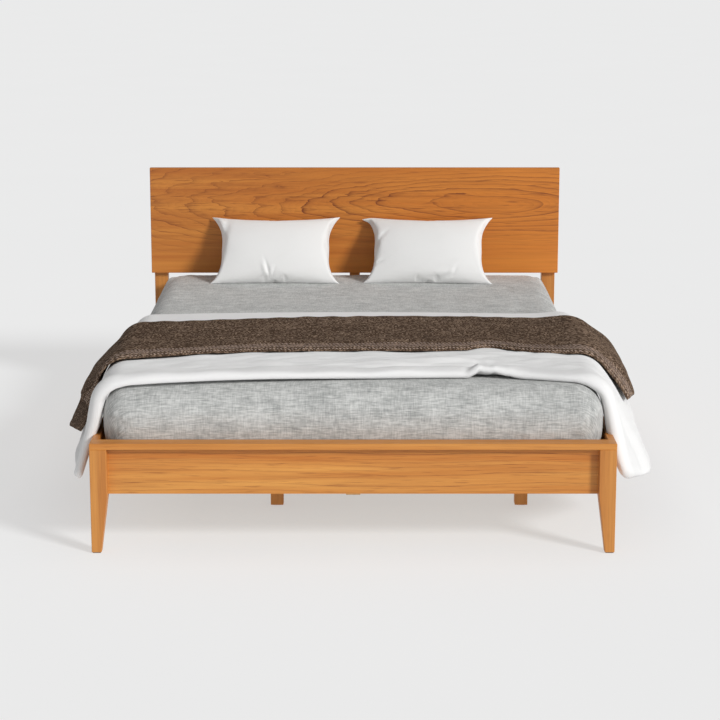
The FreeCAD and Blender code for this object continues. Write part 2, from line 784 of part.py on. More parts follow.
first_throw = stations.index(throw_front)
throw_rings = []
for number, station in enumerate(throw_stations):
    left, right = duvet_sides[first_throw + number]
    sides = [
        throw_side(left, THROW_LEFT_DROP_SHARES[number]),
        throw_side(right, THROW_RIGHT_DROP_SHARES[number]),
    ]
    throw_rings.append(cloth_section(*sides, size("throw_thickness"), station))
soft_piece("throw", Part.makeLoft(throw_rings, True, True))

# Pillows with pointed corners, drawn-in sides and a crown, leaning on the headboard

UPRIGHT = Vector(0, 0, 1)


def lens_end(reach, rise_share):
    """Half of a pillow's section, from the seam at nought: arcs up and down to its flats, then lines on."""
    half = size("pillow_thickness") / 2
    crown = CROWN_SHARE * half
    rise = rise_share * reach
    radius = (rise ** 2 + crown ** 2) / (2 * crown)
    depth = radius - crown
    flat = rise - math.sqrt(radius ** 2 - (half + depth) ** 2)
    middle = (math.atan2(depth, -rise) + math.atan2(half + depth, flat - rise)) / 2
    arc_out = rise + radius * math.cos(middle)
    arc_up = radius * math.sin(middle) - depth
    seam = Vector(0, 0, 0)
    past = Vector(size("pillow_width") + size("pillow_waist"), 0, 0)
    up = Vector(0, 0, half)
    edges = [
        Part.Arc(seam, Vector(arc_out, 0, arc_up), Vector(flat, 0, half)).toShape(),
        Part.makeLine(Vector(flat, 0, half), past + up),
        Part.makeLine(past + up, past - up),
        Part.makeLine(past - up, Vector(flat, 0, -half)),
        Part.Arc(Vector(flat, 0, -half), Vector(arc_out, 0, -arc_up), seam).toShape(),
    ]
    return Part.Face(Part.Wire(edges))


def short_side():
    """The section turned about a far upright axis, so that the seam is drawn in at its middle."""
    reach = size("pillow_width") / 2
    span = size("pillow_height")
    waist = size("pillow_waist")
    axis_far = (span ** 2 / 4 + waist ** 2) / (2 * waist)
    section = lens_end(reach - waist, SHORT_RISE_SHARE)
    section.translate(Vector(axis_far, 0, 0))
    angle = 4 * math.degrees(math.asin(span / 2 / axis_far))
    body = section.revolve(Vector(0, 0, 0), UPRIGHT, angle)
    body.rotate(Vector(0, 0, 0), UPRIGHT, -angle / 2)
    body.translate(Vector(waist - axis_far - reach, 0, 0))
    return body


def long_side():
    """The section drawn out along a straight seam."""
    reach = size("pillow_height") / 2
    span = 2 * size("pillow_width")
    section = lens_end(reach, LONG_RISE_SHARE)
    section.translate(Vector(-reach, -span / 2, 0))
    body = section.extrude(Vector(0, span, 0))
    body.rotate(Vector(0, 0, 0), UPRIGHT, 90)
    return body


def both_sides(body):
    """What is common to a side and to the same side from the other end."""
    other = body.copy()
    other.rotate(Vector(0, 0, 0), UPRIGHT, 180)
    return body.common(other)


pillow = both_sides(short_side()).common(both_sides(long_side())).removeSplitter()
lean = FreeCAD.Rotation(Vector(1, 0, 0), 90 - PILLOW_LEAN_ANGLE)
wall_span = size("half_width") + size("bed_length")
wall = Part.makeBox(2 * wall_span, size("post_depth"), 2 * wall_span,
                    Vector(-wall_span, size("headboard_front"), -wall_span))
for side, sign, angle in (("left", -1, 0), ("right", 1, -PILLOW_TURN_ANGLE)):
    placement = FreeCAD.Placement()
    placement.Rotation = FreeCAD.Rotation(Vector(0, 0, 1), angle).multiply(lean)
    placement.Base = Vector(sign * size("pillow_place"), 0, size("mattress_top") + size("pillow_height"))
    leaning = pillow.copy()
    leaning.Placement = placement
    placement.Base.y += leaning.distToShape(wall)[0] - size("soft_gap")
    placement.Base.z -= leaning.distToShape(made["fitted_sheet"].Shape)[0] - size("soft_gap")
    soft_piece(f"pillow_{side}", pillow, placement)

# Check every object, then write each sub-part's shape to its own file

doc.recompute()
for item in doc.Objects:
    if "Invalid" in item.State or "Error" in item.State:
        raise ValueError(f"{item.Name} did not build: {item.State}")
for name, item in made.items():
    if item.Shape.isNull() or not item.Shape.isValid():
        raise ValueError(f"{name} has no valid shape")
    if any(solid.Volume <= 0 for solid in item.Shape.Solids) or not item.Shape.Solids:
        raise ValueError(f"{name} is not solid")

os.makedirs("parts", exist_ok=True)
for name, item in made.items():
    item.Shape.exportStep(f"parts/{name}.step")
    print(f"{name}: {len(item.Shape.Solids)} solid, {item.Shape.Volume:.0f} mm3")
print(f"{len(made)} sub-parts")
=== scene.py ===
# %% [markdown]
# # Dressing a platform bed
# This lesson takes the finished construction of a queen platform bed and gives it its looks.
# The wooden pieces keep their shape and get their grain.
# The mattress, sheet, duvet, throw and pillows are worked out again as finer surfaces,
# each in the space that its plain solid holds.
# X runs across the bed, Y from the foot to the head, Z up, and every length is in metres.

# %% Read the frame
import math

import bmesh
import bpy
import numpy as np
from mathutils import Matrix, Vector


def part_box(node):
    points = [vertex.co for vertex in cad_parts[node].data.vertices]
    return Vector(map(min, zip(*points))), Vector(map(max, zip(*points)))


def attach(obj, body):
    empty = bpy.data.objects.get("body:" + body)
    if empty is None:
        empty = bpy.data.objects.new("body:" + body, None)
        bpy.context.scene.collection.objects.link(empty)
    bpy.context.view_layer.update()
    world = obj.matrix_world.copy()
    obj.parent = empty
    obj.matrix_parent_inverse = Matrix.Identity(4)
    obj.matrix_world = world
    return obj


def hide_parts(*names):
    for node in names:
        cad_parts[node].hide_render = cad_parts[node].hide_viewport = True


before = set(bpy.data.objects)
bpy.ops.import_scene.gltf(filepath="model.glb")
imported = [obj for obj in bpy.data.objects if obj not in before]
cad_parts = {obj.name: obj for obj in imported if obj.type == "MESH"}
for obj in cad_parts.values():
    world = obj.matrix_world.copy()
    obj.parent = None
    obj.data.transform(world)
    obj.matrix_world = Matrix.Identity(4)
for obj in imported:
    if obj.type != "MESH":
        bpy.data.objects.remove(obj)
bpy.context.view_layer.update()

# %% [markdown]
# ## Camera
# The view is from a little above, straight on, through a long lens.
# The lens length follows from how large the bed stands in the picture, and a pitch of twelve degrees
# brings the footboard's lower edge and the headboard's top to their heights.

# %% Place the camera
CAMERA_PLACE = (0.021, -7.221, 1.906)
CAMERA_PITCH = 0.209
LENS = 104.515

scene = bpy.context.scene


def put_in_scene(name, data):
    """A new object in the scene that holds this data."""
    item = bpy.data.objects.new(name, data)
    scene.collection.objects.link(item)
    return item


camera_data = bpy.data.cameras.new("view_camera")
camera_data.lens = LENS
camera_data.sensor_width = 36.0
camera_data.clip_end = 200.0
scene.camera = put_in_scene("view_camera", camera_data)
scene.camera.location = CAMERA_PLACE
scene.camera.rotation_euler = (math.pi / 2 - CAMERA_PITCH, 0.0, 0.0)
print("camera", CAMERA_PLACE, "pitch", round(math.degrees(CAMERA_PITCH), 1), "degrees")

# %% [markdown]
# ## Finishes as expressions
# A finish is a graph of nodes. Written node by node it takes many lines, and its formula is lost.
# Here a small class wraps one socket, and the signs of arithmetic on it add the nodes,
# so that `1 - line * 0.4` reads as what it does.

# %% A value that adds its own nodes
class Shade:
    """One value of a finish. A sum, difference, product, quotient or power of it is a new value."""

    def __init__(self, finish, socket):
        self.finish = finish
        self.socket = socket

    def math(self, operation, *values):
        """The value of one arithmetic node that reads these values in order."""
        return self.finish.node("ShaderNodeMath", {"operation": operation}, dict(enumerate(values)))

    def __add__(self, other):
        return self.math("ADD", self, other)

    def __sub__(self, other):
        return self.math("SUBTRACT", self, other)

    def __rsub__(self, other):
        return self.math("SUBTRACT", other, self)

    def __mul__(self, other):
        return self.math("MULTIPLY", self, other)

    def __truediv__(self, other):
        return self.math("DIVIDE", self, other)

    def __pow__(self, other):
        return self.math("POWER", self, other)

    def __abs__(self):
        return self.math("ABSOLUTE", self)

    __radd__ = __add__
    __rmul__ = __mul__

    def fraction(self):
        """What is left of the value above its last whole step."""
        return self.math("FRACT", self)

    def wave(self):
        """The sine of the value."""
        return self.math("SINE", self)

    def zigzag(self, height):
        """Up from nought to a height and down again, over and over."""
        return self.math("PINGPONG", self, height)

    def clamped(self):
        """The value held between nought and one."""
        return self.finish.node("ShaderNodeClamp", {}, {0: self})


# %% A finish that holds the graph
def tone(red, green, blue):
    """A colour from its three amounts out of 255, as they are seen, in the amounts of light that nodes use."""
    seen = np.array((red, green, blue)) / 255
    light = np.where(seen <= 0.04045, seen / 12.92, ((seen + 0.055) / 1.055) ** 2.4)
    return (*light.tolist(), 1.0)


class Finish:
    """A material whose nodes are added one at a time, each as a value."""

    def __init__(self, name, **constants):
        self.material = bpy.data.materials.new(name)
        self.material.use_nodes = True
        self.tree = self.material.node_tree
        self.shader = self.tree.nodes["Principled BSDF"]
        for socket, value in constants.items():
            self.shader.inputs[socket.replace("_", " ")].default_value = value

    def node(self, kind, settings, values, output=0):
        """Adds a node: its settings first, then values or links for its sockets, and returns an output."""
        node = self.tree.nodes.new(kind)
        for name, value in settings.items():
            setattr(node, name, value)
        for socket, value in values.items():
            if isinstance(value, Shade):
                self.tree.links.new(value.socket, node.inputs[socket])
            else:
                node.inputs[socket].default_value = value
        return Shade(self, node.outputs[output])

    def place(self, kind="Object"):
        """Where a point lies on the piece, or on its flat cloth, as three parts."""
        place = self.node("ShaderNodeTexCoord", {}, {}, kind)
        parts = self.node("ShaderNodeSeparateXYZ", {}, {0: place})
        return [Shade(self, socket) for socket in parts.socket.node.outputs]

    def together(self, parts):
        """A vector from three parts."""
        return self.node("ShaderNodeCombineXYZ", {}, dict(enumerate(parts)))

    def cloud(self, parts, rates=(1, 1, 1), detail=2.0, roughness=0.5):
        """Soft noise about 0.5, whose blots to the unit are the rate of each of the three parts."""
        vector = self.together(part * rate for part, rate in zip(parts, rates))
        values = {"Vector": vector, "Scale": 1.0, "Detail": detail, "Roughness": roughness}
        return self.node("ShaderNodeTexNoise", {}, values)

    def chance(self, *parts):
        """A random amount for each whole step of the three parts."""
        whole = self.node("ShaderNodeVectorMath", {"operation": "FLOOR"}, {0: self.together(parts)})
        return self.node("ShaderNodeTexWhiteNoise", {"noise_dimensions": "3D"}, {"Vector": whole})

    def mixed(self, share, first, second):
        """The first colour passing into the second as share goes from nought to one."""
        settings = {"data_type": "RGBA"}
        return self.node("ShaderNodeMix", settings, {0: share, 6: first, 7: second}, 2)

    def surface(self, **values):
        """Feeds the shader's sockets."""
        for socket, value in values.items():
            self.tree.links.new(value.socket, self.shader.inputs[socket.replace("_", " ")])

    def relief(self, height, distance):
        """Lets a height from nought to one, times a distance in metres, catch the light."""
        bump = self.node("ShaderNodeBump", {}, {"Strength": 1.0, "Distance": distance, "Height": height})
        self.surface(Normal=bump)


# %% [markdown]
# ## Floor and light
# The bed stands on a plain pale floor that runs on behind it as far as the view reaches.
# A low lamp far off to the right gives soft-edged shadows, and the pale room fills them.
# The floor glows a little by itself, as a lit studio sweep does, so the shadows on it stay faint
# and its tone stays even out to the far edge. Beneath the bed its glow is dimmed: a painted shadow where no
# lamp reaches.

# %% Make the floor and the light
FLOOR_HALF = 60.0
ROOM_LIGHT = 0.35
KEY_STRENGTH = 2.45
KEY_HEIGHT_ANGLE = math.radians(28)
KEY_SIDE_ANGLE = math.radians(48)
KEY_WIDTH_ANGLE = math.radians(12)
GLOW = 0.56

floor_finish = Finish("pale_floor", Roughness=1.0, Emission_Strength=GLOW, Specular_IOR_Level=0.0)
floor_place = floor_finish.place()
floor_cloud = floor_finish.cloud(floor_place, detail=3.0)
# Painted shadow: the floor's glow is dimmed across the bed's footprint, standing in for the shade beneath it.
painted_shadow_under_bed = (1.75 - abs(floor_place[0]) * 1.5).clamped() * (1.75 - abs(floor_place[1]) * 1.4).clamped()
floor_finish.surface(
    Base_Color=floor_finish.mixed(floor_cloud, tone(163, 165, 167), tone(166, 168, 170)),
    Emission_Color=floor_finish.mixed(painted_shadow_under_bed, tone(254, 253, 252), tone(231, 231, 232)),
)

corners = np.array([(-1, -1, 0), (1, -1, 0), (1, 1, 0), (-1, 1, 0)], float) * FLOOR_HALF
floor_mesh = bpy.data.meshes.new("floor")
floor_mesh.from_pydata(corners.tolist(), [], [(0, 1, 2, 3)])
floor_mesh.materials.append(floor_finish.material)
floor = put_in_scene("floor", floor_mesh)

room = bpy.data.worlds.new("room")
room.use_nodes = True
background = room.node_tree.nodes["Background"].inputs
background["Color"].default_value = (1.0, 1.0, 1.0, 1.0)
background["Strength"].default_value = ROOM_LIGHT
scene.world = room

key_data = bpy.data.lights.new("key_light", "SUN")
key_data.energy = KEY_STRENGTH
key_data.angle = KEY_WIDTH_ANGLE
key_data.color = (1.0, 0.992, 0.978)
key = put_in_scene("key_light", key_data)
key.rotation_euler = (math.pi / 2 - KEY_HEIGHT_ANGLE, 0.0, KEY_SIDE_ANGLE)

scene.view_settings.view_transform = "Standard"
print("key light", round(math.degrees(KEY_HEIGHT_ANGLE)), "degrees high")

# %% [markdown]
# ## Wood
# A board shows the tree's yearly rings where its face cuts them.
# Far from the heart the cuts are nearly straight lines. Where a board is sawn close to the heart,
# which never lies quite parallel to it, the rings come out as nested arches and long closed loops.
# Both come from one formula: a point's distance from the heart's line, counted in rings.
# Slow noise bends the rings, each ring gets a strength of its own, and thin fibres run along the grain.

# %% The wood's formula
# The parts of a place along the grain, across the face and into the board
ORDERS = {"X": (0, 2, 1), "Y": (1, 2, 0), "Z": (2, 0, 1), "slats": (0, 1, 2)}
HEART_CORE = 2.13
FINE_RINGS = 3.7
BOARD_STEP = 7.0
GRAIN_DEPTH = 0.00025


def wood(name, along, dark, middle, pale, ring, heart=None, lines=0.8, least=0.05, far=None, boards=None,
         **constants):
    """Growth rings about a line along the grain: rings are distance from it, over a ring's width.

    A heart is its place along and across the board, its slope, and where the board's face lies.
    Lines is how dark the rings are, and least the share of that which the faintest ring still has.
    Far is a colour that the board passes into along its length, with the places where that starts and ends.
    It is painted light: that end is made lighter and more orange, as if the lamp lit it more.
    Boards are the pitch and the share of change from one board to the next where several lie side by side.
    """
    finish = Finish(name, **constants)
    place = finish.place()
    run, across, deep = grain = [place[number] for number in ORDERS[along]]
    slow = finish.cloud(grain, (1.3, 5, 5), detail=1.0) - 0.5
    sway = finish.cloud(grain, (5.5, 26, 26), detail=3.0) - 0.5
    if heart:
        at, height, slope, face = heart
        rise = across - height + slow * 0.07 + sway * 0.016
        depth = (at - run) * slope + slow * 0.05 + sway * 0.020 + (deep - face) * 0.5
        distance = (rise * rise + depth * depth + (HEART_CORE * ring) ** 2) ** 0.5
        lines = (1.3 - abs(rise) * 6).clamped() * lines
    else:
        distance = across + deep * 0.35 + slow * 0.06
    count = distance / ring + sway * 0.9
    if boards:
        pitch, share = boards
        own = finish.chance(across / pitch, 0.5, 0.5)
        count = count + own * BOARD_STEP
    yearly = count.fraction()
    fine = (count * FINE_RINGS).fraction()
    strength = finish.chance(count, 3.5, 3.5)
    fibre = finish.cloud(grain, (7, 420, 420), detail=3.0, roughness=0.6)
    band = finish.cloud(grain, (0.8, 26, 26), detail=3.0, roughness=0.6)
    blush = finish.cloud(grain, (3, 70, 70))
    strokes = finish.cloud((run * 11, across * 260, deep * 260 + 5.0))
    late = (yearly ** 3.0 * 0.45 + yearly ** 12.0 * 0.75) * (least + strength ** 1.8 * (1 - least))
    late = late + fine ** 2.0 * 0.12 + (blush * 4.5 - 2.7).clamped() * 0.3
    late = late + (strokes * 8 - 4.6).clamped() * 0.55
    colour = finish.mixed((band * 2.6 - 0.8).clamped(), middle, pale)
    if far:
        # Painted light: the colour passes into a lighter, more orange one towards one end of the board.
        shade, begin, finish_at = far
        colour = finish.mixed(((run - begin) / (finish_at - begin)).clamped() * 0.75, colour, shade)
    cover = late * lines + (1 - fibre) * 0.26 + (blush - 0.5) * 0.4 - 0.08
    colour = finish.mixed(cover.clamped(), colour, dark)
    if boards:
        colour = finish.mixed(own * share, colour, middle)
    finish.surface(Base_Color=colour, Roughness=0.38 + fibre * 0.22)
    finish.relief(fibre * 0.6 - late * 0.5, GRAIN_DEPTH)
    return finish.material


# %% The woods of this bed
OIL = {"Coat_Weight": 0.08, "Coat_Roughness": 0.35}
DARK_WOOD = tone(118, 54, 12)
PALE_WOOD = (tone(170, 128, 80), tone(214, 180, 130), tone(230, 202, 156))
SLAT_PITCH = 0.15393
HEADBOARD_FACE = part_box("headboard_panel")[0].y


def oiled(name, along, middle, pale, ring, **looks):
    """One of the oiled woods, with the dark lines that they share."""
    return wood(name, along, DARK_WOOD, tone(*middle), tone(*pale), ring, **looks, **OIL)


# The headboard's far colour is painted light: its right end is lighter and more orange, standing in for the
# lamp from the right.
panel_wood = oiled("headboard_wood", "X", (183, 105, 36), (211, 137, 56), 0.0155, lines=0.95, least=0.45,
                   heart=(0.50, 0.796, 0.143, HEADBOARD_FACE), far=(tone(216, 128, 36), -0.5, 0.9))
board_wood = oiled("footboard_wood", "X", (193, 116, 40), (224, 158, 76), 0.0115, lines=0.62)
cap_wood = oiled("cap_wood", "X", (200, 128, 52), (218, 150, 72), 0.012, lines=0.3)
rail_wood = oiled("rail_wood", "Y", (190, 114, 46), (212, 142, 66), 0.012, lines=0.4)
leg_wood = oiled("leg_wood", "Z", (190, 120, 50), (212, 146, 70), 0.0095, lines=0.28)
slat_wood = wood("slat_wood", "slats", tone(176, 136, 88), tone(222, 190, 142), tone(236, 210, 168),
                 ring=0.007, boards=(SLAT_PITCH, 0.5), lines=0.5)
beam_wood = wood("beam_wood", "X", *PALE_WOOD, ring=0.008, lines=0.5)
ledger_wood = wood("ledger_wood", "Y", *PALE_WOOD, ring=0.008, lines=0.5)
print("woods", panel_wood.name, board_wood.name, leg_wood.name, slat_wood.name)

# %% [markdown]
# ## Steel and felt
# The corner brackets are pressed steel with a fine black paint. The bolts and screws are plated.
# Under each leg is a pad of pressed wool felt, whose short fibres lie every way.

# %% Steel and felt
black_steel = Finish("black_steel", Metallic=0.6)
grit = black_steel.cloud(black_steel.place(), (1400, 1400, 1400))
black_steel.surface(Base_Color=black_steel.mixed(grit, tone(38, 38, 40), tone(58, 58, 60)),
                    Roughness=0.42 + grit * 0.25)
black_steel.relief(grit, 0.00006)

plated = Finish("plated_steel", Metallic=1.0)
drawn_lines = plated.cloud(plated.place(), (900, 900, 90))
plated.surface(Base_Color=plated.mixed(drawn_lines, tone(168, 168, 172), tone(205, 205, 208)),
               Roughness=0.24 + drawn_lines * 0.2)

felt = Finish("wool_felt", Roughness=0.95, Sheen_Weight=0.4)
fuzz = felt.cloud(felt.place(), (900, 900, 900), detail=4.0)
felt.surface(Base_Color=felt.mixed(fuzz, tone(92, 84, 76), tone(142, 132, 122)))
felt.relief(fuzz, 0.0006)

# %% Give the kept pieces their finishes
# Each finish, and how the names of its nodes start
FINISHES = (
    (panel_wood, ("headboard_panel",)),
    (board_wood, ("footboard_panel", "head_rail")),
    (cap_wood, ("footboard_cap",)),
    (rail_wood, ("side_rail",)),
    (leg_wood, ("front_leg", "headboard_post", "headboard_strut", "support_leg")),
    (ledger_wood, ("slat_ledger", "centre_rail")),
    (slat_wood, ("slat_0", "slat_1")),
    (beam_wood, ("cross_beam", "rail_cleat")),
    (black_steel.material, ("corner_brackets",)),
    (plated.material, ("leg_bolts",)),
    (felt.material, ("felt_pads",)),
)

for finish, starts in FINISHES:
    nodes = [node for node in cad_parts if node.startswith(starts)]
    for node in nodes:
        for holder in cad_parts[node].material_slots:
            holder.material = finish
    print(finish.name, "on", len(nodes), "nodes")

# %% [markdown]
# ## Surfaces from numbers
# Every new piece is made of grids of points worked out as whole arrays, whose neighbours join as
# four-sided faces. A padded piece has two grids, one for each side, that close where their borders meet.

# %% Put a grid of points in a mesh
def grid_faces(rows, columns, first, turned_over):
    """The corners of a grid's faces, counted from the point called first."""
    row, column = np.meshgrid(np.arange(rows - 1), np.arange(columns - 1), indexing="ij")
    corner = first + row * columns + column
    faces = np.stack([corner, corner + 1, corner + columns + 1, corner + columns], -1).reshape(-1, 4)
    return faces[:, ::-1] if turned_over else faces


def make_piece(name, grids, flats, finish, turned=()):
    """A smooth mesh from grids of points, with the flat cloth's places as its UV map.

    The faces of the grids numbered in turned are turned over. Points that meet are merged.
    """
    points = np.concatenate([grid.reshape(-1, 3) for grid in grids])
    flat = np.concatenate([part.reshape(-1, 2) for part in flats])
    firsts = np.cumsum([0] + [grid.shape[0] * grid.shape[1] for grid in grids])
    faces = np.concatenate([grid_faces(*grid.shape[:2], first, number in turned)
                            for number, (grid, first) in enumerate(zip(grids, firsts))])
    mesh = bpy.data.meshes.new(name)
    mesh.vertices.add(len(points))
    mesh.vertices.foreach_set("co", points.astype(np.float32).ravel())
    mesh.loops.add(faces.size)
    mesh.loops.foreach_set("vertex_index", faces.astype(np.int32).ravel())
    mesh.polygons.add(len(faces))
    mesh.polygons.foreach_set("loop_start", np.arange(0, faces.size, 4, dtype=np.int32))
    mesh.update(calc_edges=True)
    flat_map = mesh.uv_layers.new(name="flat_cloth")
    flat_map.data.foreach_set("uv", flat[faces.ravel()].astype(np.float32).ravel())
    work = bmesh.new()
    work.from_mesh(mesh)
    bmesh.ops.remove_doubles(work, verts=work.verts, dist=1e-6)
    work.to_mesh(mesh)
    work.free()
    mesh.polygons.foreach_set("use_smooth", np.ones(len(mesh.polygons), bool))
    mesh.materials.append(finish)
    piece = put_in_scene(name, mesh)
    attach(piece, "root")
    print(name, len(mesh.polygons), "faces")
    return piece


# %% Soft changes along a surface
WAVES = 7


def swell(first, second, size, seed):
    """Gentle hills mostly between -1 and 1: a sum of plane waves with seeded directions, starts and lengths."""
    draw = np.random.default_rng(seed)
    headings, starts = draw.uniform(0, math.pi, WAVES), draw.uniform(0, 2 * math.pi, WAVES)
    rates = 2 * math.pi * draw.uniform(0.7, 1.5, WAVES) / size
    total = np.zeros(np.broadcast(first, second).shape)
    for heading, start, rate in zip(headings, starts, rates):
        total += np.sin(rate * (first * math.cos(heading) + second * math.sin(heading)) + start)
    return total / math.sqrt(WAVES) / 1.6


def hill(distance, width):
    """A bell of height one: the exponential of minus the distance over the width, squared."""
    return np.exp(-(distance / width) ** 2)


def step_up(amount, start, end):
    """Nought up to start, one from end on, and a smooth rise between."""
    share = np.clip((amount - start) / (end - start), 0, 1)
    return share * share * (3 - 2 * share)


def span(amount, start, full, fading, end):
    """Nought up to start, one from full to fading, and nought again from end on."""
    return step_up(amount, start, full) * (1 - step_up(amount, fading, end))


def rounded_edge(distance, radius):
    """Half of a rolled edge: a quarter circle's height at a distance from the border, one past its radius."""
    inside = np.clip(distance / radius, 0, 1)
    return np.sqrt(1 - (1 - inside) ** 2)


# %% [markdown]
# ## Mattress
# A queen mattress is a block of foam and springs in a quilted ticking, with rounded edges, rounded
# corners and a slight crown. Its outline seen from above is carried along a profile that climbs
# the side and then closes over the top and under the base, which needs no separate corners.

# %% The block that mattress and sheet share
mattress_low, mattress_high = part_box("mattress")
HALF_MATTRESS = mattress_high.x
MATTRESS_TOP = mattress_high.z
MATTRESS_MIDDLE = (mattress_low.y + mattress_high.y) / 2
HALF_LENGTH = (mattress_high.y - mattress_low.y) / 2
DUVET_FRONT, DUVET_BACK = [corner.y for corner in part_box("duvet")]
UPPER_IN, UPPER_DOWN = 0.094, 0.100
LOWER_IN, LOWER_UP = 0.046, 0.150
CORNER = 0.086
LEAST_CORNER = 0.020
CORNER_CLOSER = 2.2
SQUARE_BACK = 0.8
FLAT_HEAD = 0.9
CROWN = 0.010
CROWN_RADIUS = (HALF_MATTRESS ** 2 + CROWN ** 2) / (2 * CROWN)


def plan_outline(count, inset, grow):
    """A rectangle with rounded corners, drawn in by an inset: straight sides and quarter circles.

    The corner's radius shrinks by the inset, down to a least one, and the points stand closer there.
    At the head the inset is smaller, since the edge there is squarer.
    Returns the points and their outward directions, a row for each inset.
    """
    inset = np.asarray(inset)[:, None]
    straight = np.array([2 * (HALF_MATTRESS - CORNER), 2 * (HALF_LENGTH - CORNER)] * 2)
    bend = CORNER_CLOSER * (CORNER * math.pi / 2)
    lengths = np.stack([straight, np.full(4, bend)], 1).ravel()
    ends = np.cumsum(lengths)
    way = np.arange(count) / count * ends[-1]
    stretch = np.searchsorted(ends, way, side="right")
    share = (way - ends[stretch] + lengths[stretch]) / lengths[stretch]
    side, bending = stretch // 2, stretch % 2 == 1
    heading = (side - 1) * math.pi / 2 + np.where(bending, share * math.pi / 2, 0)
    radius = np.maximum(CORNER - inset, LEAST_CORNER)
    across = HALF_MATTRESS - inset - radius
    foot = inset + radius - HALF_LENGTH
    head = HALF_LENGTH - inset * (1 - SQUARE_BACK) - radius
    corner = [(-across, foot), (across, foot), (across, head), (-across, head)]
    corner = np.stack([np.hstack(pair) for pair in corner], 1)
    start, end = corner[:, side], corner[:, (side + 1) % 4]
    base = np.where(bending[:, None], end, start + (end - start) * share[:, None])
    outward = np.stack([np.cos(heading), np.sin(heading)], 1)
    return base + outward * (radius + grow)[..., None], np.broadcast_to(outward, (len(inset), count, 2))


def block_profile(grow, start, steps):
    """Inset and height up the side from start, and the way gone: a quarter ellipse, a wall and another."""
    base = mattress_low.z - grow
    top = MATTRESS_TOP + grow
    turn = np.linspace(0, math.pi / 2, 2 * steps)
    low = np.stack([LOWER_IN * (1 - np.sin(turn)), base + LOWER_UP * (1 - np.cos(turn))], 1)
    high = np.stack([UPPER_IN * (1 - np.cos(turn)), top - UPPER_DOWN * (1 - np.sin(turn))], 1)
    profile = np.vstack([low, high])
    profile = profile[profile[:, 1] >= start]
    way = np.concatenate([[0], np.cumsum(np.hypot(*np.diff(profile, axis=0).T))])
    return profile[:, 0], profile[:, 1], way


def crown_fall(across, along, height):
    """How far the top falls away from its middle: nothing low on the side, and little at the head."""
    share = step_up(height, mattress_low.z + LOWER_UP, MATTRESS_TOP)
    share = share * (1 - FLAT_HEAD * step_up(along, DUVET_BACK + 0.05, mattress_high.y - 0.15))
    return share * across ** 2 / (2 * CROWN_RADIUS)


# %% [markdown]
# The top closes with rings that shrink to the middle, and the base does the same.

# %% Build a block
def closing_rings(ring, count):
    """Rings between a border and its middle point, drawn in evenly."""
    shares = np.linspace(1, 0, count + 1)[1:]
    return ring[None] * shares[:, None, None]


def at_height(rings, height):
    """Rings seen from above, given their height."""
    return np.concatenate([rings, np.broadcast_to(height, (*rings.shape[:2], 1))], 2)


def block_points(grow, columns, steps, start, top_rings):
    """The block's side from start up and its top, as rings of points, with their flat cloth's places.

    Each ring ends on its first point, so that it closes.
    """
    inset, height, way = block_profile(grow, start, steps)
    outline, outward = plan_outline(columns, inset, grow)
    inner = closing_rings(outline[-1], top_rings)
    points = np.concatenate([at_height(outline, height[:, None, None]), at_height(inner, MATTRESS_TOP + grow)])
    flat = np.concatenate([outline[-1] + outward * (way[-1] - way)[:, None, None], inner])
    points[..., 1] += MATTRESS_MIDDLE
    points[..., 2] -= crown_fall(points[..., 0], points[..., 1], points[..., 2])
    return [np.concatenate([rings, rings[:, :1]], 1) for rings in (points, flat)]


STRIPE_PITCH = 0.022
ticking = Finish("ticking", Roughness=0.85, Sheen_Weight=0.2)
ticking_place = ticking.place()
thread = ticking.cloud(ticking_place, (1500, 1500, 1500))
stripe = (ticking_place[0] / STRIPE_PITCH).zigzag(0.5) * 2
ticking.surface(Base_Color=ticking.mixed((stripe ** 6.0).clamped(), tone(226, 222, 214), tone(176, 178, 182)))
ticking.relief(thread, 0.0004)

QUILT_PITCH = 0.09
QUILT_DEPTH = 0.0025
points, flat = block_points(0.0, 360, 10, mattress_low.z, 24)
base_middle = (0, MATTRESS_MIDDLE)
under = at_height(closing_rings(points[0, :, :2] - base_middle, 12) + base_middle, mattress_low.z)[::-1]
across, along, height = np.moveaxis(points, -1, 0)
quilt = np.abs(np.sin(math.pi * (across + along) / QUILT_PITCH)
               * np.sin(math.pi * (across - along) / QUILT_PITCH)) ** 0.5
points[..., 2] -= (1 - quilt) * QUILT_DEPTH * step_up(height, MATTRESS_TOP - 0.02, MATTRESS_TOP - 0.01)
mattress = make_piece("mattress_body", [np.concatenate([under, points])],
                      [np.concatenate([under[..., :2], flat])], ticking.material)
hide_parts("mattress")

# %% [markdown]
# ## Fitted sheet
# A fitted sheet is cut with a square out of each corner and sewn there, and an elastic hem pulls it
# under the mattress's edge. It lies tight, with short wrinkles that run from the corners and
# shallow ones across the front. The block grown by the cloth's thickness gives the shape,
# and wrinkles are added only outwards, so that it never cuts the mattress.

# %% Heathered linen
LINEN_PITCH = 0.0016
linen = Finish("heathered_linen", Roughness=0.88, Sheen_Weight=0.12, Sheen_Roughness=0.5)
linen_across, linen_along, _ = linen.place("UV")
slub_rows = linen.cloud((linen_across, linen_along, 0.3), (34, 270, 1), detail=3.0, roughness=0.6)
slub_columns = linen.cloud((linen_across, linen_along, 7.3), (270, 34, 1), detail=3.0, roughness=0.6)
blots = linen.cloud((linen_across, linen_along, 1.7), (14, 22, 1), detail=4.0, roughness=0.65)
heather = (slub_rows * 2.2 + slub_columns * 1.3 + blots * 1.2 - 1.80).clamped()
weave_rows, weave_columns = [(part * 2 * math.pi / LINEN_PITCH).wave() for part in (linen_along, linen_across)]
linen.surface(Base_Color=linen.mixed(heather, tone(152, 154, 153), tone(212, 213, 211)))
linen.relief(heather * 0.5 + weave_rows * weave_columns * 0.25, 0.0005)

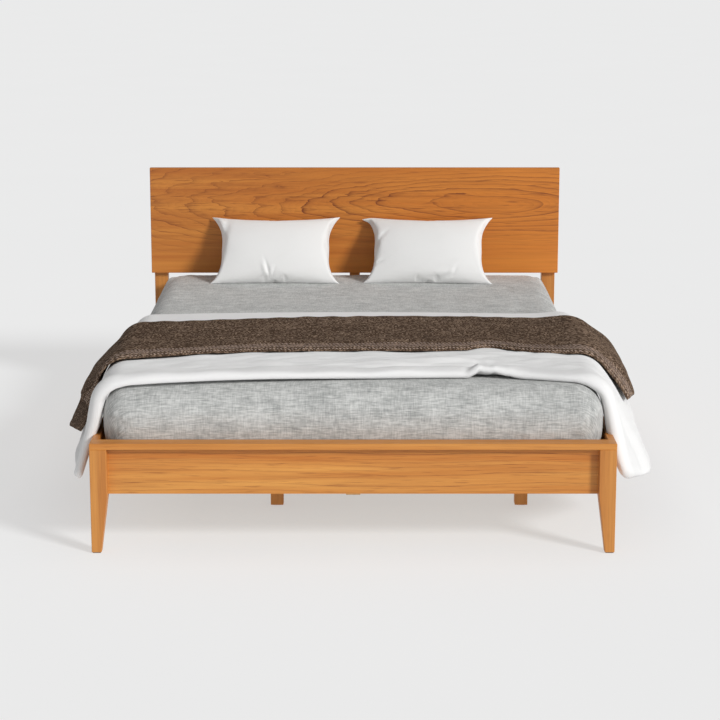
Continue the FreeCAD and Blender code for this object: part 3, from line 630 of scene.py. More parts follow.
# %% Fit the sheet over the mattress
SHEET_GAP = 0.0003
SHEET_THICKNESS = 0.0016
SHEET_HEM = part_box("fitted_sheet")[0].z
EDGE_WIDTH = 0.06
WRINKLE = 0.0022
CORNER_WRINKLE = 0.0030
HEM_GATHER, GATHER_RATE = 0.0015, 190
EAR = 0.013

# Outwards is level on the sides and upright on the top
points, flat = block_points(SHEET_GAP + SHEET_THICKNESS / 2, 520, 16, SHEET_HEM, 48)
across, along = points[..., 0], points[..., 1]
flat_across, flat_along = flat[..., 0], flat[..., 1]
level = np.array((HALF_MATTRESS - EDGE_WIDTH, HALF_LENGTH - EDGE_WIDTH))
outwards = np.zeros_like(points)
outwards[..., :2] = flat - np.clip(flat, -level, level)
down = np.hypot(outwards[..., 0], outwards[..., 1])
side_share = step_up(down, 0.03, 0.12)
outwards[..., :2] /= np.maximum(down, 1e-9)[..., None]
outwards[..., :2] *= side_share[..., None]
outwards[..., 2] = 1 - side_share
past_corner = np.abs(across) - HALF_MATTRESS, np.abs(along - MATTRESS_MIDDLE) - HALF_LENGTH
near_corner = hill(np.hypot(*past_corner), 0.22)
# Fine creases at the corners, broad hollows, lines drawn down the sides, a gathered hem and an ear at the head
fine = swell(flat_across * 0.35, flat_along * 0.35, 0.030, 11) ** 2
broad = swell(flat_across, flat_along, 0.26, 12) * 0.5 + 0.5
drawn = swell(flat_across * 0.25, down, 0.045, 13) ** 2 * step_up(down, 0.02, 0.08)
free = 1 - span(along, DUVET_FRONT - 0.04, DUVET_FRONT - 0.01, DUVET_BACK + 0.01, DUVET_BACK + 0.05)
wrinkle = free * (WRINKLE * broad + CORNER_WRINKLE * near_corner * fine + WRINKLE * drawn)
gathers = 1 + np.sin(flat_across * GATHER_RATE + flat_along * GATHER_RATE)
hem_gather = hill(down - down.max(), 0.035) * HEM_GATHER * gathers
ear = hill(np.hypot(past_corner[0] + 0.035, along - MATTRESS_MIDDLE - HALF_LENGTH + 0.045), 0.022)
points += outwards * (wrinkle + hem_gather)[..., None]
points[..., 2] += EAR * ear
sheet = make_piece("linen_sheet", [points], [flat], linen.material)
shell = sheet.modifiers.new("thickness", "SOLIDIFY")
shell.thickness = SHEET_THICKNESS
shell.offset = 0.0
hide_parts("fitted_sheet")

# %% [markdown]
# ## Hanging cloth
# Seen in section across the bed, a cloth that hangs over the mattress follows three arcs:
# the crown of the mattress, the shoulder at its edge, and a wide arc outwards to the hem.
# Each arc leaves the last in the same direction, so the cloth has no kink.
# The shares say how far each side flares and drops at stations from the foot to the head,
# and a smooth curve fills in between them.

# %% The section of a hanging cloth
DUVET_THICKNESS = 0.024
DUVET_GAP = SHEET_GAP + SHEET_THICKNESS + 0.0003
DUVET_REACH = HALF_MATTRESS + SHEET_GAP + SHEET_THICKNESS + 0.009
SHOULDER = 0.066
FLARE = 0.180
DROP = 0.352
THROW_FRONT, THROW_BACK = [corner.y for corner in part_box("throw")]
HEM = 0.045
FOLD_PITCH = 0.27
FULL_SHOULDER = 0.030
HANG_CROWN = CROWN_RADIUS + DUVET_GAP
CROWN_CENTRE = MATTRESS_TOP - CROWN_RADIUS

# Flare, drop and the angle in degrees where the shoulder ends, station by station
RIGHT_SHARES = np.array((
    (0.35, 0.88, 77), (0.40, 0.90, 76), (0.84, 0.98, 58), (0.80, 0.96, 54), (0.86, 0.94, 52),
    (0.82, 0.90, 50), (0.88, 0.88, 50), (0.96, 0.88, 49), (0.88, 0.88, 50), (0.90, 0.90, 50),
    (0.86, 0.92, 52),
))
LEFT_SHARES = np.array((
    (0.34, 0.88, 79), (0.37, 0.90, 79), (0.48, 1.00, 78), (0.59, 0.96, 77), (0.61, 0.92, 68),
    (0.64, 0.90, 62), (0.68, 0.90, 60), (0.72, 0.90, 59), (0.74, 0.90, 58), (0.76, 0.90, 57),
    (0.76, 0.88, 58),
))
throw_depth = THROW_BACK - THROW_FRONT
throw_stations = THROW_FRONT + throw_depth * np.linspace(0, 1, 5)
first_hem, last_hem = DUVET_FRONT + HEM, DUVET_BACK - HEM
STATIONS = np.array([
    DUVET_FRONT, first_hem, first_hem + 0.62 * (THROW_FRONT - first_hem), *throw_stations,
    (THROW_BACK + last_hem) / 2, last_hem, DUVET_BACK,
])


def between(places, rows, where):
    """Rows of values between stations: a cubic whose slope at a station is the mean of its neighbours'."""
    steps = np.diff(places)
    rise = np.diff(rows, axis=0) / steps[:, None]
    slopes = np.vstack([rise[:1], (rise[1:] + rise[:-1]) / 2, rise[-1:]])
    start = np.clip(np.searchsorted(places, where, side="right") - 1, 0, len(steps) - 1)
    width = steps[start][..., None]
    part = np.clip((where - places[start])[..., None] / width, 0, 1)
    value = (1 + 2 * part) * (1 - part) ** 2 * rows[start] + part ** 2 * (3 - 2 * part) * rows[start + 1]
    return value + width * part * (1 - part) * ((1 - part) * slopes[start] - part * slopes[start + 1])


class Hang:
    """One side of the hanging cloth at places along the bed: its three arcs, each from where the last ends.

    The wide arc bends down where its start is flatter than its chord, and out to the hem where it is steeper,
    and then its radius is below nought.
    """

    def __init__(self, shares, along):
        flare, drop, turn = np.moveaxis(between(STATIONS, shares, along), -1, 0)
        self.turn = np.radians(turn)
        self.first = math.asin((DUVET_REACH - SHOULDER) / (HANG_CROWN - SHOULDER))
        inner = HANG_CROWN - SHOULDER
        self.centre = (inner * math.sin(self.first), CROWN_CENTRE + inner * math.cos(self.first))
        end_x = self.centre[0] + SHOULDER * np.sin(self.turn)
        end_z = self.centre[1] + SHOULDER * np.cos(self.turn)
        gap_x = DUVET_REACH + flare * FLARE - end_x
        gap_z = MATTRESS_TOP - drop * DROP - end_z
        facing = gap_x * np.sin(self.turn) + gap_z * np.cos(self.turn)
        self.wide = -(gap_x ** 2 + gap_z ** 2) / (2 * facing)
        self.wide_x = end_x - self.wide * np.sin(self.turn)
        self.wide_z = end_z - self.wide * np.cos(self.turn)
        bend = np.sign(self.wide)
        last = np.arctan2(bend * (end_x + gap_x - self.wide_x), bend * (end_z + gap_z - self.wide_z))
        self.crown_way = HANG_CROWN * self.first
        self.shoulder_way = self.crown_way + SHOULDER * (self.turn - self.first)
        self.whole_way = self.shoulder_way + self.wide * (last - self.turn)

    def point(self, way, out):
        """Across and height at a way from the middle, moved out square to the cloth."""
        def of_arc(crown, shoulder, wide):
            return np.where(way < self.crown_way, crown, np.where(way < self.shoulder_way, shoulder, wide))

        angle = of_arc(way / HANG_CROWN, self.first + (way - self.crown_way) / SHOULDER,
                       self.turn + (way - self.shoulder_way) / self.wide)
        radius = of_arc(HANG_CROWN, SHOULDER, self.wide) + out
        across = of_arc(0, self.centre[0], self.wide_x)
        height = of_arc(CROWN_CENTRE, self.centre[1], self.wide_z)
        return across + radius * np.sin(angle), height + radius * np.cos(angle)

    def way_at(self, height, out):
        """The way from the middle at which the wide arc, moved out, comes down to a height."""
        angle = np.arccos((height - self.wide_z) / (self.wide + out))
        return self.shoulder_way + self.wide * (angle - self.turn)


def fold_out(way, along, beyond, right):
    """Soft upright folds of the hanging part, only outwards, and a fuller shoulder on the right."""
    low = step_up(way, beyond, beyond + 0.30) * step_up(along, DUVET_FRONT, THROW_FRONT)
    wave = 0.5 + 0.5 * np.sin(2 * math.pi * along / FOLD_PITCH + 1.3 * np.sin(along * 9) + way * 2)
    full = right * FULL_SHOULDER * hill(way - beyond - 0.09, 0.14)
    full = full * step_up(along, THROW_FRONT - 0.10, THROW_FRONT + 0.25)
    return full + low * ((0.003 + 0.004 * right) * wave + 0.001 * (1 + swell(along, way, 0.12, 21)))


def over_bed(way, along, out):
    """Points of a cloth at a signed way across from the middle, a place along and a distance out."""
    left, right = Hang(LEFT_SHARES, along), Hang(RIGHT_SHARES, along)
    leftward = way < 0
    left_x, left_z = left.point(-way, out + fold_out(-way, along, left.crown_way + 0.05, 0))
    right_x, right_z = right.point(way, out + fold_out(way, along, right.crown_way + 0.05, 1))
    return np.stack([np.where(leftward, -left_x, right_x), along, np.where(leftward, left_z, right_z)], -1)


def line_along(way, knots):
    """A smooth line through knots of way and shift, level beyond the ends."""
    places, shifts = np.array(knots).T
    inside = np.clip(way, places[0], places[-1])
    return between(places, shifts[:, None], inside)[..., 0]


for side, shares in (("left", LEFT_SHARES), ("right", RIGHT_SHARES)):
    print("cloth to the", side, round(float(Hang(shares, throw_stations[:1]).whole_way[0]), 3), "m")

# %% [markdown]
# ## Duvet
# A duvet is a bag of cotton filled with down. It is thick in the middle, rounded along its hems,
# and it takes long shallow folds where the throw pulls on it.
# The grid runs across the bed and along it, once for its upper side and once for its lower one,
# and the thickness goes to nothing at the border as a quarter circle does, which rolls the hem.

# %% White cotton
def white_cotton(name, shade, light, pitch):
    """Close plain weave: fine crossed threads at a pitch, and colour that hardly changes."""
    finish = Finish(name, Roughness=0.82, Sheen_Weight=0.15, Sheen_Roughness=0.4)
    across, along, _ = finish.place("UV")
    soft = finish.cloud((across, along, 2.0), (6, 6, 1), detail=3.0)
    rate = 2 * math.pi / pitch
    threads = (along * rate).wave() * (across * rate).wave()
    finish.surface(Base_Color=finish.mixed(soft, shade, light))
    finish.relief(threads * 0.3 + soft * 0.4, 0.0004)
    return finish.material


duvet_cotton = white_cotton("duvet_cotton", tone(236, 236, 236), tone(243, 243, 243), 0.0012)

# %% How the throw and the duvet's hem run across the bed
# Knots of the way across and how far an edge lies back from a straight line there
DUVET_HEM = ((-0.95, -0.012), (-0.75, -0.027), (-0.58, -0.020), (-0.20, 0.0), (0.05, 0.022),
             (0.33, 0.046), (0.52, 0.044), (0.68, 0.012), (0.80, -0.010), (0.95, -0.010))
THROW_EDGE = ((-1.05, -0.070), (-0.72, -0.078), (-0.58, -0.050), (-0.45, -0.022), (0.0, 0.0), (0.35, 0.020),
              (0.45, 0.062), (0.56, 0.010), (0.68, -0.010), (0.80, -0.008), (1.0, -0.020))
THROW_FOLDED = ((-0.80, -0.050), (-0.50, -0.040), (-0.20, -0.004), (0.30, 0.018), (0.60, 0.010), (0.80, 0.0))


def edge_fall(along):
    """How far the mattress's front edge falls away at a place along the bed."""
    into = np.clip(1 - (along - mattress_low.y) / (0.8 * UPPER_IN), 0, 0.95)
    return UPPER_DOWN * (1 - np.sqrt(1 - into ** 2))


# %% Work out the duvet
DUVET_COLUMNS, DUVET_ROWS = 330, 150
DUVET_CORNER = 0.055
HEM_ROLL, BACK_ROLL = 0.018, 0.016
FULLER_HEM, FULLER_LOW = 0.016, 0.006
MIDDLE_SHARE = 0.42
DEEPEST = 0.013
DUVET_LIFT = 0.0006
CLOSER_AT_SIDES, CLOSER_AT_HEMS = 0.25, 0.20
LEFT_ROUNDING = 0.6
even = np.linspace(-1, 1, DUVET_COLUMNS)
spread = CLOSER_AT_SIDES * np.sin(even * math.pi / 2) + (1 - CLOSER_AT_SIDES) * even
rows_even = np.linspace(0, 1, DUVET_ROWS)
rows_spread = (1 - CLOSER_AT_HEMS) * rows_even + CLOSER_AT_HEMS * (1 - np.cos(rows_even * math.pi)) / 2
duvet_along = (DUVET_FRONT + rows_spread * (DUVET_BACK - DUVET_FRONT))[:, None] + np.zeros(DUVET_COLUMNS)
to_hem = np.minimum(duvet_along - DUVET_FRONT, DUVET_BACK - duvet_along)
drawn_in = DUVET_CORNER * (1 - rounded_edge(to_hem, DUVET_CORNER))
left_way = Hang(LEFT_SHARES, duvet_along).whole_way - LEFT_ROUNDING * drawn_in
right_way = Hang(RIGHT_SHARES, duvet_along).whole_way - drawn_in
duvet_way = np.where(spread < 0, spread * left_way, spread * right_way)


def duvet_loft(way, along):
    """How much the upper side stands over the plain thickness: rolled hem, long folds and soft hills."""
    behind = along - DUVET_FRONT
    # The rolled hem, the hollow behind it and the rise towards the throw
    roll = 0.006 * hill(behind - 0.050, 0.035) - 0.008 * hill(behind - 0.135, 0.050)
    roll += 0.010 * step_up(behind, 0.21, 0.31)
    # Two long creases that run back towards the right, and one down the right side
    crease_at = 0.075 + 0.13 * step_up(way, -0.55, 0.40)
    crease = 0.009 * hill(behind - crease_at, 0.018) * span(way, -0.75, -0.45, 0.38, 0.46)
    second_at = 0.055 + 0.10 * step_up(way, -0.35, 0.2)
    second = 0.006 * hill(behind - second_at, 0.014) * span(way, -0.35, -0.15, 0.2, 0.36)
    side_at = 0.26 - 0.16 * step_up(way, 0.45, 0.85)
    side = 0.007 * hill(behind - side_at, 0.030) * step_up(way, 0.44, 0.60)
    # The ridge and groove of a short pull, and fine streaks in front of the throw
    pull = hill(way - 0.375 - 0.25 * behind, 0.013) - 0.9 * hill(way - 0.345 - 0.25 * behind, 0.012)
    pull *= 0.0035 * (1 - step_up(behind, 0.10, 0.30))
    hills = 0.003 * swell(way * 0.5, along, 0.13, 31)
    slanting = along - 0.12 * way
    streaks = np.abs(swell(way * 0.18, slanting, 0.048, 32)) ** 0.6
    hills += 0.0050 * (streaks - 0.6) * step_up(behind, 0.03, 0.10) * (1 - step_up(np.abs(way), 0.66, 0.80))
    visible = 1 - step_up(along - line_along(way, THROW_EDGE), THROW_FRONT - 0.02, THROW_FRONT + 0.02)
    back = step_up(along - line_along(way, THROW_FOLDED), THROW_BACK - 0.01, THROW_BACK + 0.04)
    return (roll + crease + second + side + pull + hills) * visible - 0.012 * back


def hem_lift(way, along):
    """How far the front hem stands off the sheet: a little on the left, in an uneven puff on the right."""
    behind = along - DUVET_FRONT
    arch = span(way, 0.350, 0.392, 0.405, 0.545)
    puffs = 0.018 + 0.0018 * np.sin(way * 130 + 1.0) + 0.0014 * np.sin(way * 260 + behind * 60)
    loose = 0.009 * span(way, -0.80, -0.72, -0.45, 0.25) * hill(behind, 0.060)
    return arch * puffs * hill(behind - 0.25 * np.abs(way - 0.41), 0.040) + loose


border = np.minimum(left_way + duvet_way, right_way - duvet_way)
beyond = np.abs(duvet_way) - HALF_MATTRESS
on_right = duvet_way > 0
fuller = FULLER_HEM * step_up(beyond, -0.09, -0.02)
fuller *= 1 - step_up(duvet_along, DUVET_FRONT + 0.04, DUVET_FRONT + 0.10)
fuller *= np.where(on_right, 1 - 0.6 * step_up(beyond, 0.20, 0.32), 1 - step_up(beyond, 0.09, 0.21))
fuller_low = np.where(on_right, FULLER_LOW * span(beyond, 0.05, 0.15, 0.22, 0.34), 0.0)
fuller += fuller_low * (1 - step_up(duvet_along, DUVET_FRONT + 0.10, DUVET_FRONT + 0.30))
edge = rounded_edge(border, HEM_ROLL + fuller * 0.4)
edge *= rounded_edge(duvet_along - DUVET_FRONT, HEM_ROLL + fuller)
edge *= rounded_edge(DUVET_BACK - duvet_along, BACK_ROLL)
middle_out = DUVET_THICKNESS * MIDDLE_SHARE - fuller * 0.6
loft = np.maximum(duvet_loft(duvet_way, duvet_along), -DEEPEST)
lifted = hem_lift(duvet_way, duvet_along)
upper = over_bed(duvet_way, duvet_along, middle_out + (DUVET_THICKNESS - middle_out + loft) * edge + lifted)
lower = over_bed(duvet_way, duvet_along, middle_out - (middle_out + fuller - DUVET_LIFT) * edge + lifted)
shift = line_along(duvet_way, DUVET_HEM) * (1 - step_up(duvet_along, DUVET_FRONT, THROW_FRONT))
on_top = 1 - step_up(np.abs(duvet_way), HALF_MATTRESS - 0.03, HALF_MATTRESS + 0.05)
for side in (upper, lower):
    side[..., 1] += shift
    side[..., 2] -= edge_fall(side[..., 1]) * on_top
duvet = make_piece("white_duvet", [upper, lower], [np.stack([duvet_way, duvet_along], -1)] * 2,
                   duvet_cotton, turned=(1,))
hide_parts("duvet")

# %% [markdown]
# ## Throw
# The throw is one knitted cloth folded in half, its fold towards the pillows.
# Its two layers hang down both sides, and on the left the upper one ends higher than the lower one.
# The grid follows the cloth's own path: back along the lower layer, round the fold, and forward
# along the upper one. A second grid, moved through the cloth's thickness, is its other face.

# %% Chunky knit
THROW_FOLD = 0.0034
THROW_CLOTH = 0.0046
LOWER_OUT = DUVET_THICKNESS + 0.0030
STITCH_WIDE, STITCH_HIGH = 0.0050, 0.0060
DASH_WIDE, DASH_HIGH = 0.0118, 0.0205
layer_depth = throw_depth - THROW_FOLD
fold_way = math.pi * THROW_FOLD
THROW_PATH = 2 * layer_depth + fold_way

knit = Finish("brown_knit", Roughness=1.0, Specular_IOR_Level=0.08)
knit_across, knit_along, _ = knit.place("UV")
columns = knit_across / STITCH_WIDE
courses = knit_along / STITCH_HIGH + columns.zigzag(1.0) * 0.9
stitch = courses.zigzag(0.5) * 2
own_shade = knit.chance(columns, courses, 0.5)
blotch = knit.cloud((knit_across, knit_along, 0.4), (7, 18, 1), detail=3.0)
fleck = knit.cloud((knit_across, knit_along, 3.1), (260, 420, 1), roughness=0.6)
speck = (own_shade * 1.6 + fleck * 2.6 - 2.50 + blotch * 0.8).clamped() * (0.30 + stitch * 0.70)
edge_way = THROW_PATH - knit_along
in_edge = edge_way.math("GREATER_THAN", edge_way, 0.012) * edge_way.math("LESS_THAN", edge_way, 0.094)
slant = (knit_across + edge_way * 0.9) / DASH_WIDE
edge_rows = edge_way / DASH_HIGH
dash = (slant.zigzag(0.5) * 6.4 - 1.5).clamped() * (edge_rows.zigzag(0.5) * 4.8 - 0.3).clamped()
dashes = dash * in_edge * (0.6 + knit.chance(slant, edge_rows, 4.5) * 0.4)
knit_colour = knit.mixed(speck, tone(76, 60, 48), tone(196, 168, 144))
knit_colour = knit.mixed(dashes * 0.9, knit_colour, tone(222, 198, 184))
knit.surface(Base_Color=knit_colour)
knit.relief(stitch * 0.6 + dashes * 0.9, 0.0018)

# %% Work out the throw
RIGHT_DROP_SHARES = np.array((0.39, 0.47, 0.56, 0.65, 0.73))[:, None]
LEFT_DROP_SHARES = np.array((0.65, 0.74, 0.83, 0.92, 1.00))[:, None]
UPPER_LEFT_SHARES = np.array((0.58, 0.60, 0.62, 0.64, 0.66))[:, None]
UPPER_RIGHT_SHARE = 0.985
THROW_DROP = 0.345
THROW_BULK = 0.024
SLACK = 0.003
EDGE_WAVE, EDGE_WAVE_RATE = 0.006, 55
THROW_OUT = DUVET_THICKNESS + 0.004
THROW_COLUMNS, LAYER_ROWS, FOLD_ROWS = 330, 72, 9

path = np.concatenate([
    np.linspace(0, layer_depth, LAYER_ROWS),
    layer_depth + fold_way * np.linspace(0, 1, FOLD_ROWS)[1:-1],
    layer_depth + fold_way + np.linspace(0, layer_depth, LAYER_ROWS),
])[:, None]
turn = np.clip((path - layer_depth) / THROW_FOLD, 0, math.pi)
on_upper = step_up(turn, 0, math.pi)
path_along = np.where(path < layer_depth, THROW_FRONT + path, np.where(
    path < layer_depth + fold_way, THROW_BACK - THROW_FOLD + THROW_FOLD * np.sin(turn),
    THROW_BACK - THROW_FOLD - (path - layer_depth - fold_way)))
path_out = LOWER_OUT + THROW_FOLD * (1 - np.cos(turn))


def throw_ends(shares, side_shares, upper_share):
    """The way from the middle to the throw's end on one side, shorter on the upper layer."""
    drop = between(throw_stations, shares, path_along)[..., 0] * THROW_DROP
    drop = drop * (1 - on_upper * (1 - upper_share))
    return Hang(side_shares, path_along).way_at(MATTRESS_TOP - drop, THROW_OUT)


upper_share = between(throw_stations, UPPER_LEFT_SHARES, path_along)[..., 0]
left_end = throw_ends(LEFT_DROP_SHARES, LEFT_SHARES, upper_share)
right_end = throw_ends(RIGHT_DROP_SHARES, RIGHT_SHARES, UPPER_RIGHT_SHARE)
share = np.linspace(-1, 1, THROW_COLUMNS)
throw_way = np.where(share < 0, share * left_end, share * right_end)
throw_along = path_along + np.zeros(THROW_COLUMNS)
from_middle = np.abs(throw_way)
slack = SLACK * step_up(from_middle, HALF_MATTRESS - 0.06, HALF_MATTRESS + 0.08)
# The cloth stands off where its two layers hang free on the left, and over the right shoulder
stand_off = 1.3 * on_upper * step_up(-throw_way, HALF_MATTRESS + 0.01, HALF_MATTRESS + 0.16)
stand_off += 1.4 * (1 - on_upper) * step_up(-throw_way, HALF_MATTRESS + 0.15, HALF_MATTRESS + 0.34)
stand_off += 0.7 * hill(throw_way - HALF_MATTRESS - 0.11, 0.10)
bulk = THROW_BULK * stand_off * (0.25 + 0.75 * step_up(throw_along, THROW_FRONT, THROW_FRONT + 0.18))
hilly = 0.0014 * (1 + swell(throw_way, throw_along, 0.11, 41))
to_front = throw_along - THROW_FRONT
second_hill = 0.004 * hill(to_front - 0.13, 0.04) * (1 + swell(throw_way, 0, 0.5, 42))
hilly += 0.006 * hill(to_front - 0.02, 0.03) + second_hill
from_front = np.clip(to_front / throw_depth, 0, 1)
wavy = EDGE_WAVE * np.sin(from_middle * EDGE_WAVE_RATE)
wavy *= step_up(from_middle, HALF_MATTRESS - 0.02, HALF_MATTRESS + 0.06)
droop = 2 * THROW_FOLD * on_upper * (1 - step_up(to_front, 0.004, 0.032))
front_shift = line_along(throw_way, THROW_EDGE) + wavy + 0.028 * (1 - on_upper) - 0.004
throw_shift = (1 - from_front) * front_shift + from_front * line_along(throw_way, THROW_FOLDED)
throw_border = np.minimum(np.minimum(left_end + throw_way, right_end - throw_way),
                          np.minimum(path, THROW_PATH - path))
half_cloth = THROW_CLOTH / 2 * rounded_edge(throw_border, 0.004)
normal_along, normal_out = np.sin(turn), -np.cos(turn)
sides = []
for sign in (1, -1):
    along = throw_along + sign * half_cloth * normal_along
    out = path_out + slack + bulk + hilly - droop + sign * half_cloth * normal_out
    side = over_bed(throw_way, along, out)
    side[..., 1] += throw_shift
    sides.append(side)
throw_flat = np.stack([throw_way, path + np.zeros(THROW_COLUMNS)], -1)
throw = make_piece("brown_throw", sides, [throw_flat] * 2, knit.material, turned=(0,))
THROW_FLAT = (round(float((left_end + right_end).max()), 2), round(THROW_PATH, 2))
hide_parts("throw")
print("throw cut to", THROW_FLAT, "m")

# %% [markdown]
# ## Pillows
# A pillow's cover is two pieces of cotton sewn round their border. Filling it draws the sides in
# between the corners, which stay as thin points, and puckers the cloth along the seams.
# That is what a cloth simulation does well: a thin form is blown up like a balloon for twenty
# steps, and then brought to the pillow's real size.

# %% The pillow before filling
PILLOW_WIDE, PILLOW_HIGH, PILLOW_THICK = 0.513, 0.316, 0.136
PILLOW_WAIST = 0.025
PILLOW_CELLS = (104, 70)
LEAN = math.radians(48)
FILLING_STEPS = 20
FILLING = {"quality": 6, "mass": 0.25, "tension_stiffness": 25, "compression_stiffness": 12,
           "shear_stiffness": 6, "bending_stiffness": 0.35, "use_pressure": True,
           "uniform_pressure_force": 2.0}


def pillow_form(thick):
    """Two crowned faces that meet at a border drawn in between its corners.

    Half the thickness is a root of a product: one minus a power of how far a point lies to each side.
    """
    across, up = np.meshgrid(np.linspace(-1, 1, PILLOW_CELLS[0]), np.linspace(-1, 1, PILLOW_CELLS[1]))
    left_right = across * (PILLOW_WIDE / 2 - PILLOW_WAIST * (1 - np.abs(up) ** 3.0))
    low_high = up * PILLOW_HIGH / 2
    raised = thick / 2 * ((1 - np.abs(across) ** 2.6) * (1 - np.abs(up) ** 2.2)) ** 0.62
    face = np.stack([left_right, low_high, raised], -1)
    return face, face * (1, 1, -1)


def points_of(mesh):
    """The places of a mesh's points."""
    places = np.empty(len(mesh.vertices) * 3, np.float32)
    mesh.vertices.foreach_get("co", places)
    return places.reshape(-1, 3).astype(float)


def fill_with_cloth(piece):
    """Blows the form up with the cloth simulation and returns its points."""
    cloth = piece.modifiers.new("filling", "CLOTH")
    for setting, value in FILLING.items():
        setattr(cloth.settings, setting, value)
    cloth.settings.effector_weights.gravity = 0.0
    cloth.collision_settings.use_self_collision = False
    for frame_number in range(1, FILLING_STEPS + 1):
        scene.frame_set(frame_number)
    filled = piece.evaluated_get(bpy.context.evaluated_depsgraph_get())
    points = points_of(filled.to_mesh())
    filled.to_mesh_clear()
    piece.modifiers.clear()
    scene.frame_set(1)
    return points


# %% Fill one pillow
pillow_cotton = white_cotton("pillow_cotton", tone(234, 234, 233), tone(242, 242, 242), 0.0011)
front, back = pillow_form(PILLOW_THICK * 0.9)


def pillow_piece(name):
    """A pillow before filling, as a mesh."""
    return make_piece(name, [front, back], [front[..., :2]] * 2, pillow_cotton, turned=(1,))


pillow_left = pillow_piece("cotton_pillow_left")
pillow_left.parent = None
filled = fill_with_cloth(pillow_left)
low, high = filled.min(0), filled.max(0)
filled = (filled - (low + high) / 2) * (PILLOW_WIDE, PILLOW_HIGH, PILLOW_THICK) / (high - low)
at_waist = np.abs(filled[:, 1]) < 0.01
print("pillow waist", round(2 * float(np.abs(filled[at_waist, 0]).max()), 3), "of", PILLOW_WIDE, "m")

# %% [markdown]
# Both pillows come from the one filling, the second turned round, and get creases of their own.
# A crease is a narrow groove with a low ridge beside it. Each pillow then leans against the
# headboard, and what would pass into the board or the sheet is pressed flat there.

# %% Crease and place the pillows
REST_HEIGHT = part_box("pillow_left")[0].z
PILLOW_FOOT = 0.792
PILLOW_SAG = 0.020
PILLOW_SINK = 0.003
BOARD_GAP = 0.0005


def place_pillow(piece, node, flip, aside, turn_angle, tucks, folded_corner=0.0):
    """Creases the filled form, leans it back and sets it down at the headboard."""
    shape = filled * (flip, 1, 1)
    for across, up, heading, long, deep, wide in tucks:
        away = shape[:, :2] - (across, up)
        along = away @ (math.cos(heading), math.sin(heading))
        beside = away @ (-math.sin(heading), math.cos(heading))
        groove = hill(along, long) * (hill(beside, wide) - 0.6 * hill(beside - 2.2 * wide, 1.6 * wide))
        shape[:, 2] -= np.where(shape[:, 2] > 0, deep * groove, 0)
    corner = hill(np.hypot(shape[:, 0] + PILLOW_WIDE / 2, shape[:, 1] - PILLOW_HIGH / 2), 0.024)
    shape += folded_corner * corner[:, None] * (-0.010, -0.020, 0.010)
    sag = 1 - (shape[:, 0] / (PILLOW_WIDE / 2)) ** 2
    shape[:, 1] -= PILLOW_SAG * sag * step_up(shape[:, 1], 0, PILLOW_HIGH / 2)
    low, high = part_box(node)
    rise, run = math.sin(LEAN), math.cos(LEAN)
    lean = np.array([(1, 0, 0), (0, run, rise), (0, -rise, run)])
    right, ahead = math.cos(turn_angle), math.sin(turn_angle)
    spin = np.array([(right, ahead, 0), (-ahead, right, 0), (0, 0, 1)])
    shape = shape @ lean @ spin
    shape += ((low.x + high.x) / 2 + aside, 0, REST_HEIGHT - PILLOW_SINK + PILLOW_HIGH / 2 * rise)
    shape[:, 1] += PILLOW_FOOT + PILLOW_HIGH / 2 * run
    shape[:, 1] = np.minimum(shape[:, 1], HEADBOARD_FACE - BOARD_GAP)
    shape[:, 2] = np.maximum(shape[:, 2], REST_HEIGHT)
    piece.data.vertices.foreach_set("co", shape.astype(np.float32).ravel())
    piece.data.update()
    smooth = piece.modifiers.new("smooth", "SUBSURF")
    smooth.levels = smooth.render_levels = 1
    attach(piece, "root")
    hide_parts(node)


# A tuck is its place across and up the pillow, its heading, length, depth and width
place_pillow(pillow_left, "pillow_left", 1, -0.013, 0.0, [
    (-0.026, -0.118, 1.85, 0.030, 0.007, 0.0055), (-0.006, -0.132, 1.15, 0.022, 0.003, 0.0055),
    (-0.205, 0.035, 1.4, 0.080, 0.010, 0.016),
])
place_pillow(pillow_piece("cotton_pillow_right"), "pillow_right", -1, -0.010, math.radians(-2.5), [
    (-0.195, 0.020, 0.9, 0.045, 0.005, 0.009), (-0.200, -0.085, 0.35, 0.030, 0.004, 0.0055),
    (0.060, -0.140, 0.15, 0.045, 0.005, 0.0055), (0.105, -0.122, 1.0, 0.016, 0.003, 0.0055),
    (0.210, 0.000, 0.15, 0.016, 0.003, 0.0055), (-0.215, 0.060, 1.5, 0.050, 0.007, 0.012),
], folded_corner=1.0)

# %% [markdown]
# ## Screws
# Three pan-head screws hold each corner bracket to its side rail, two countersunk ones each end of
# a slat, and the headboard is held from behind by screws through its posts.
# A head is a profile turned about its axis: a low dome with a recess in its middle.

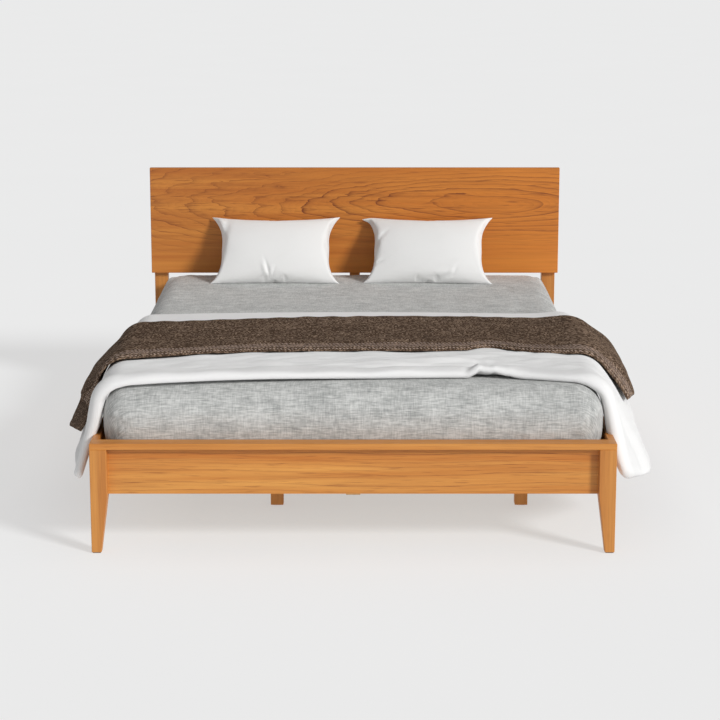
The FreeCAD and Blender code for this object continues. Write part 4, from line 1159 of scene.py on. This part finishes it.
# %% Turned screw heads
def screw_heads(name, places, facing, radius, rise):
    """Heads turned about their axes: the profile is radius and height, from the base to the recess."""
    profile = np.array([(0.0, 0.0), (1.0, 0.0), (1.0, 0.35), (0.88, 0.75), (0.62, 1.0), (0.42, 1.0),
                        (0.36, 0.35), (0.0, 0.3)])
    around = np.linspace(0, 2 * math.pi, 17)
    ring = np.stack([np.cos(around), np.sin(around)], -1)
    rim, height = profile[:, 0] * radius, profile[:, 1] * rise
    axis = np.array(facing, float)
    side = np.array((axis[2], axis[0], axis[1]))
    other = np.cross(axis, side)
    head = rim[:, None, None] * (ring[..., :1] * side + ring[..., 1:] * other) + height[:, None, None] * axis
    heads = list(np.asarray(places)[:, None, None] + head)
    return make_piece(name, heads, [head[..., :2] for head in heads], plated.material)


SCREW_SINK = 0.0002
BRACKET_STEEL = 0.003
BRACKET_REACH, BRACKET_MARGIN = 0.040, 0.025
SLAT_MARGIN, SLAT_SINK = 0.013, 0.0008
HEADBOARD_MARGIN, POST_MARGIN = 0.07, 0.06
rail_inner = -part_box("side_rail_left")[1].x
bracket_low, bracket_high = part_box("corner_brackets")
bracket_z = np.linspace(bracket_low.z + BRACKET_MARGIN, bracket_high.z - BRACKET_MARGIN, 3)
leg_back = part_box("front_leg_left")[1].y
post_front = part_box("headboard_post_left")[0].y
for sign, end in ((-1, "left"), (1, "right")):
    arm = sign * (rail_inner - BRACKET_STEEL + SCREW_SINK)
    spots = [(arm, y, z) for y in (leg_back + BRACKET_REACH, post_front - BRACKET_REACH) for z in bracket_z]
    screw_heads(f"bracket_screws_{end}", spots, (-sign, 0, 0), radius=0.005, rise=0.003)

slat_nodes = sorted(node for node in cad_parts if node.startswith("slat_") and node[-1].isdigit())
slat_spots = []
for node in slat_nodes:
    low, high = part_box(node)
    slat_spots += [(sign * (high.x - SLAT_MARGIN), low.y + share_along * (high.y - low.y), high.z - SLAT_SINK)
                   for sign in (-1, 1) for share_along in (0.3, 0.7)]
screw_heads("slat_screws", slat_spots, (0, 0, 1), radius=0.0042, rise=0.0010)

panel_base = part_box("headboard_panel")[0].z
post_low, post_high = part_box("headboard_post_right")
head_heights = (panel_base + HEADBOARD_MARGIN, (panel_base + post_high.z) / 2, post_high.z - POST_MARGIN)
head_spots = [(sign * (post_low.x + post_high.x) / 2, post_high.y - SCREW_SINK, z)
              for sign in (-1, 1) for z in head_heights]
screw_heads("headboard_screws", head_spots, (0, 1, 0), radius=0.0075, rise=0.003)
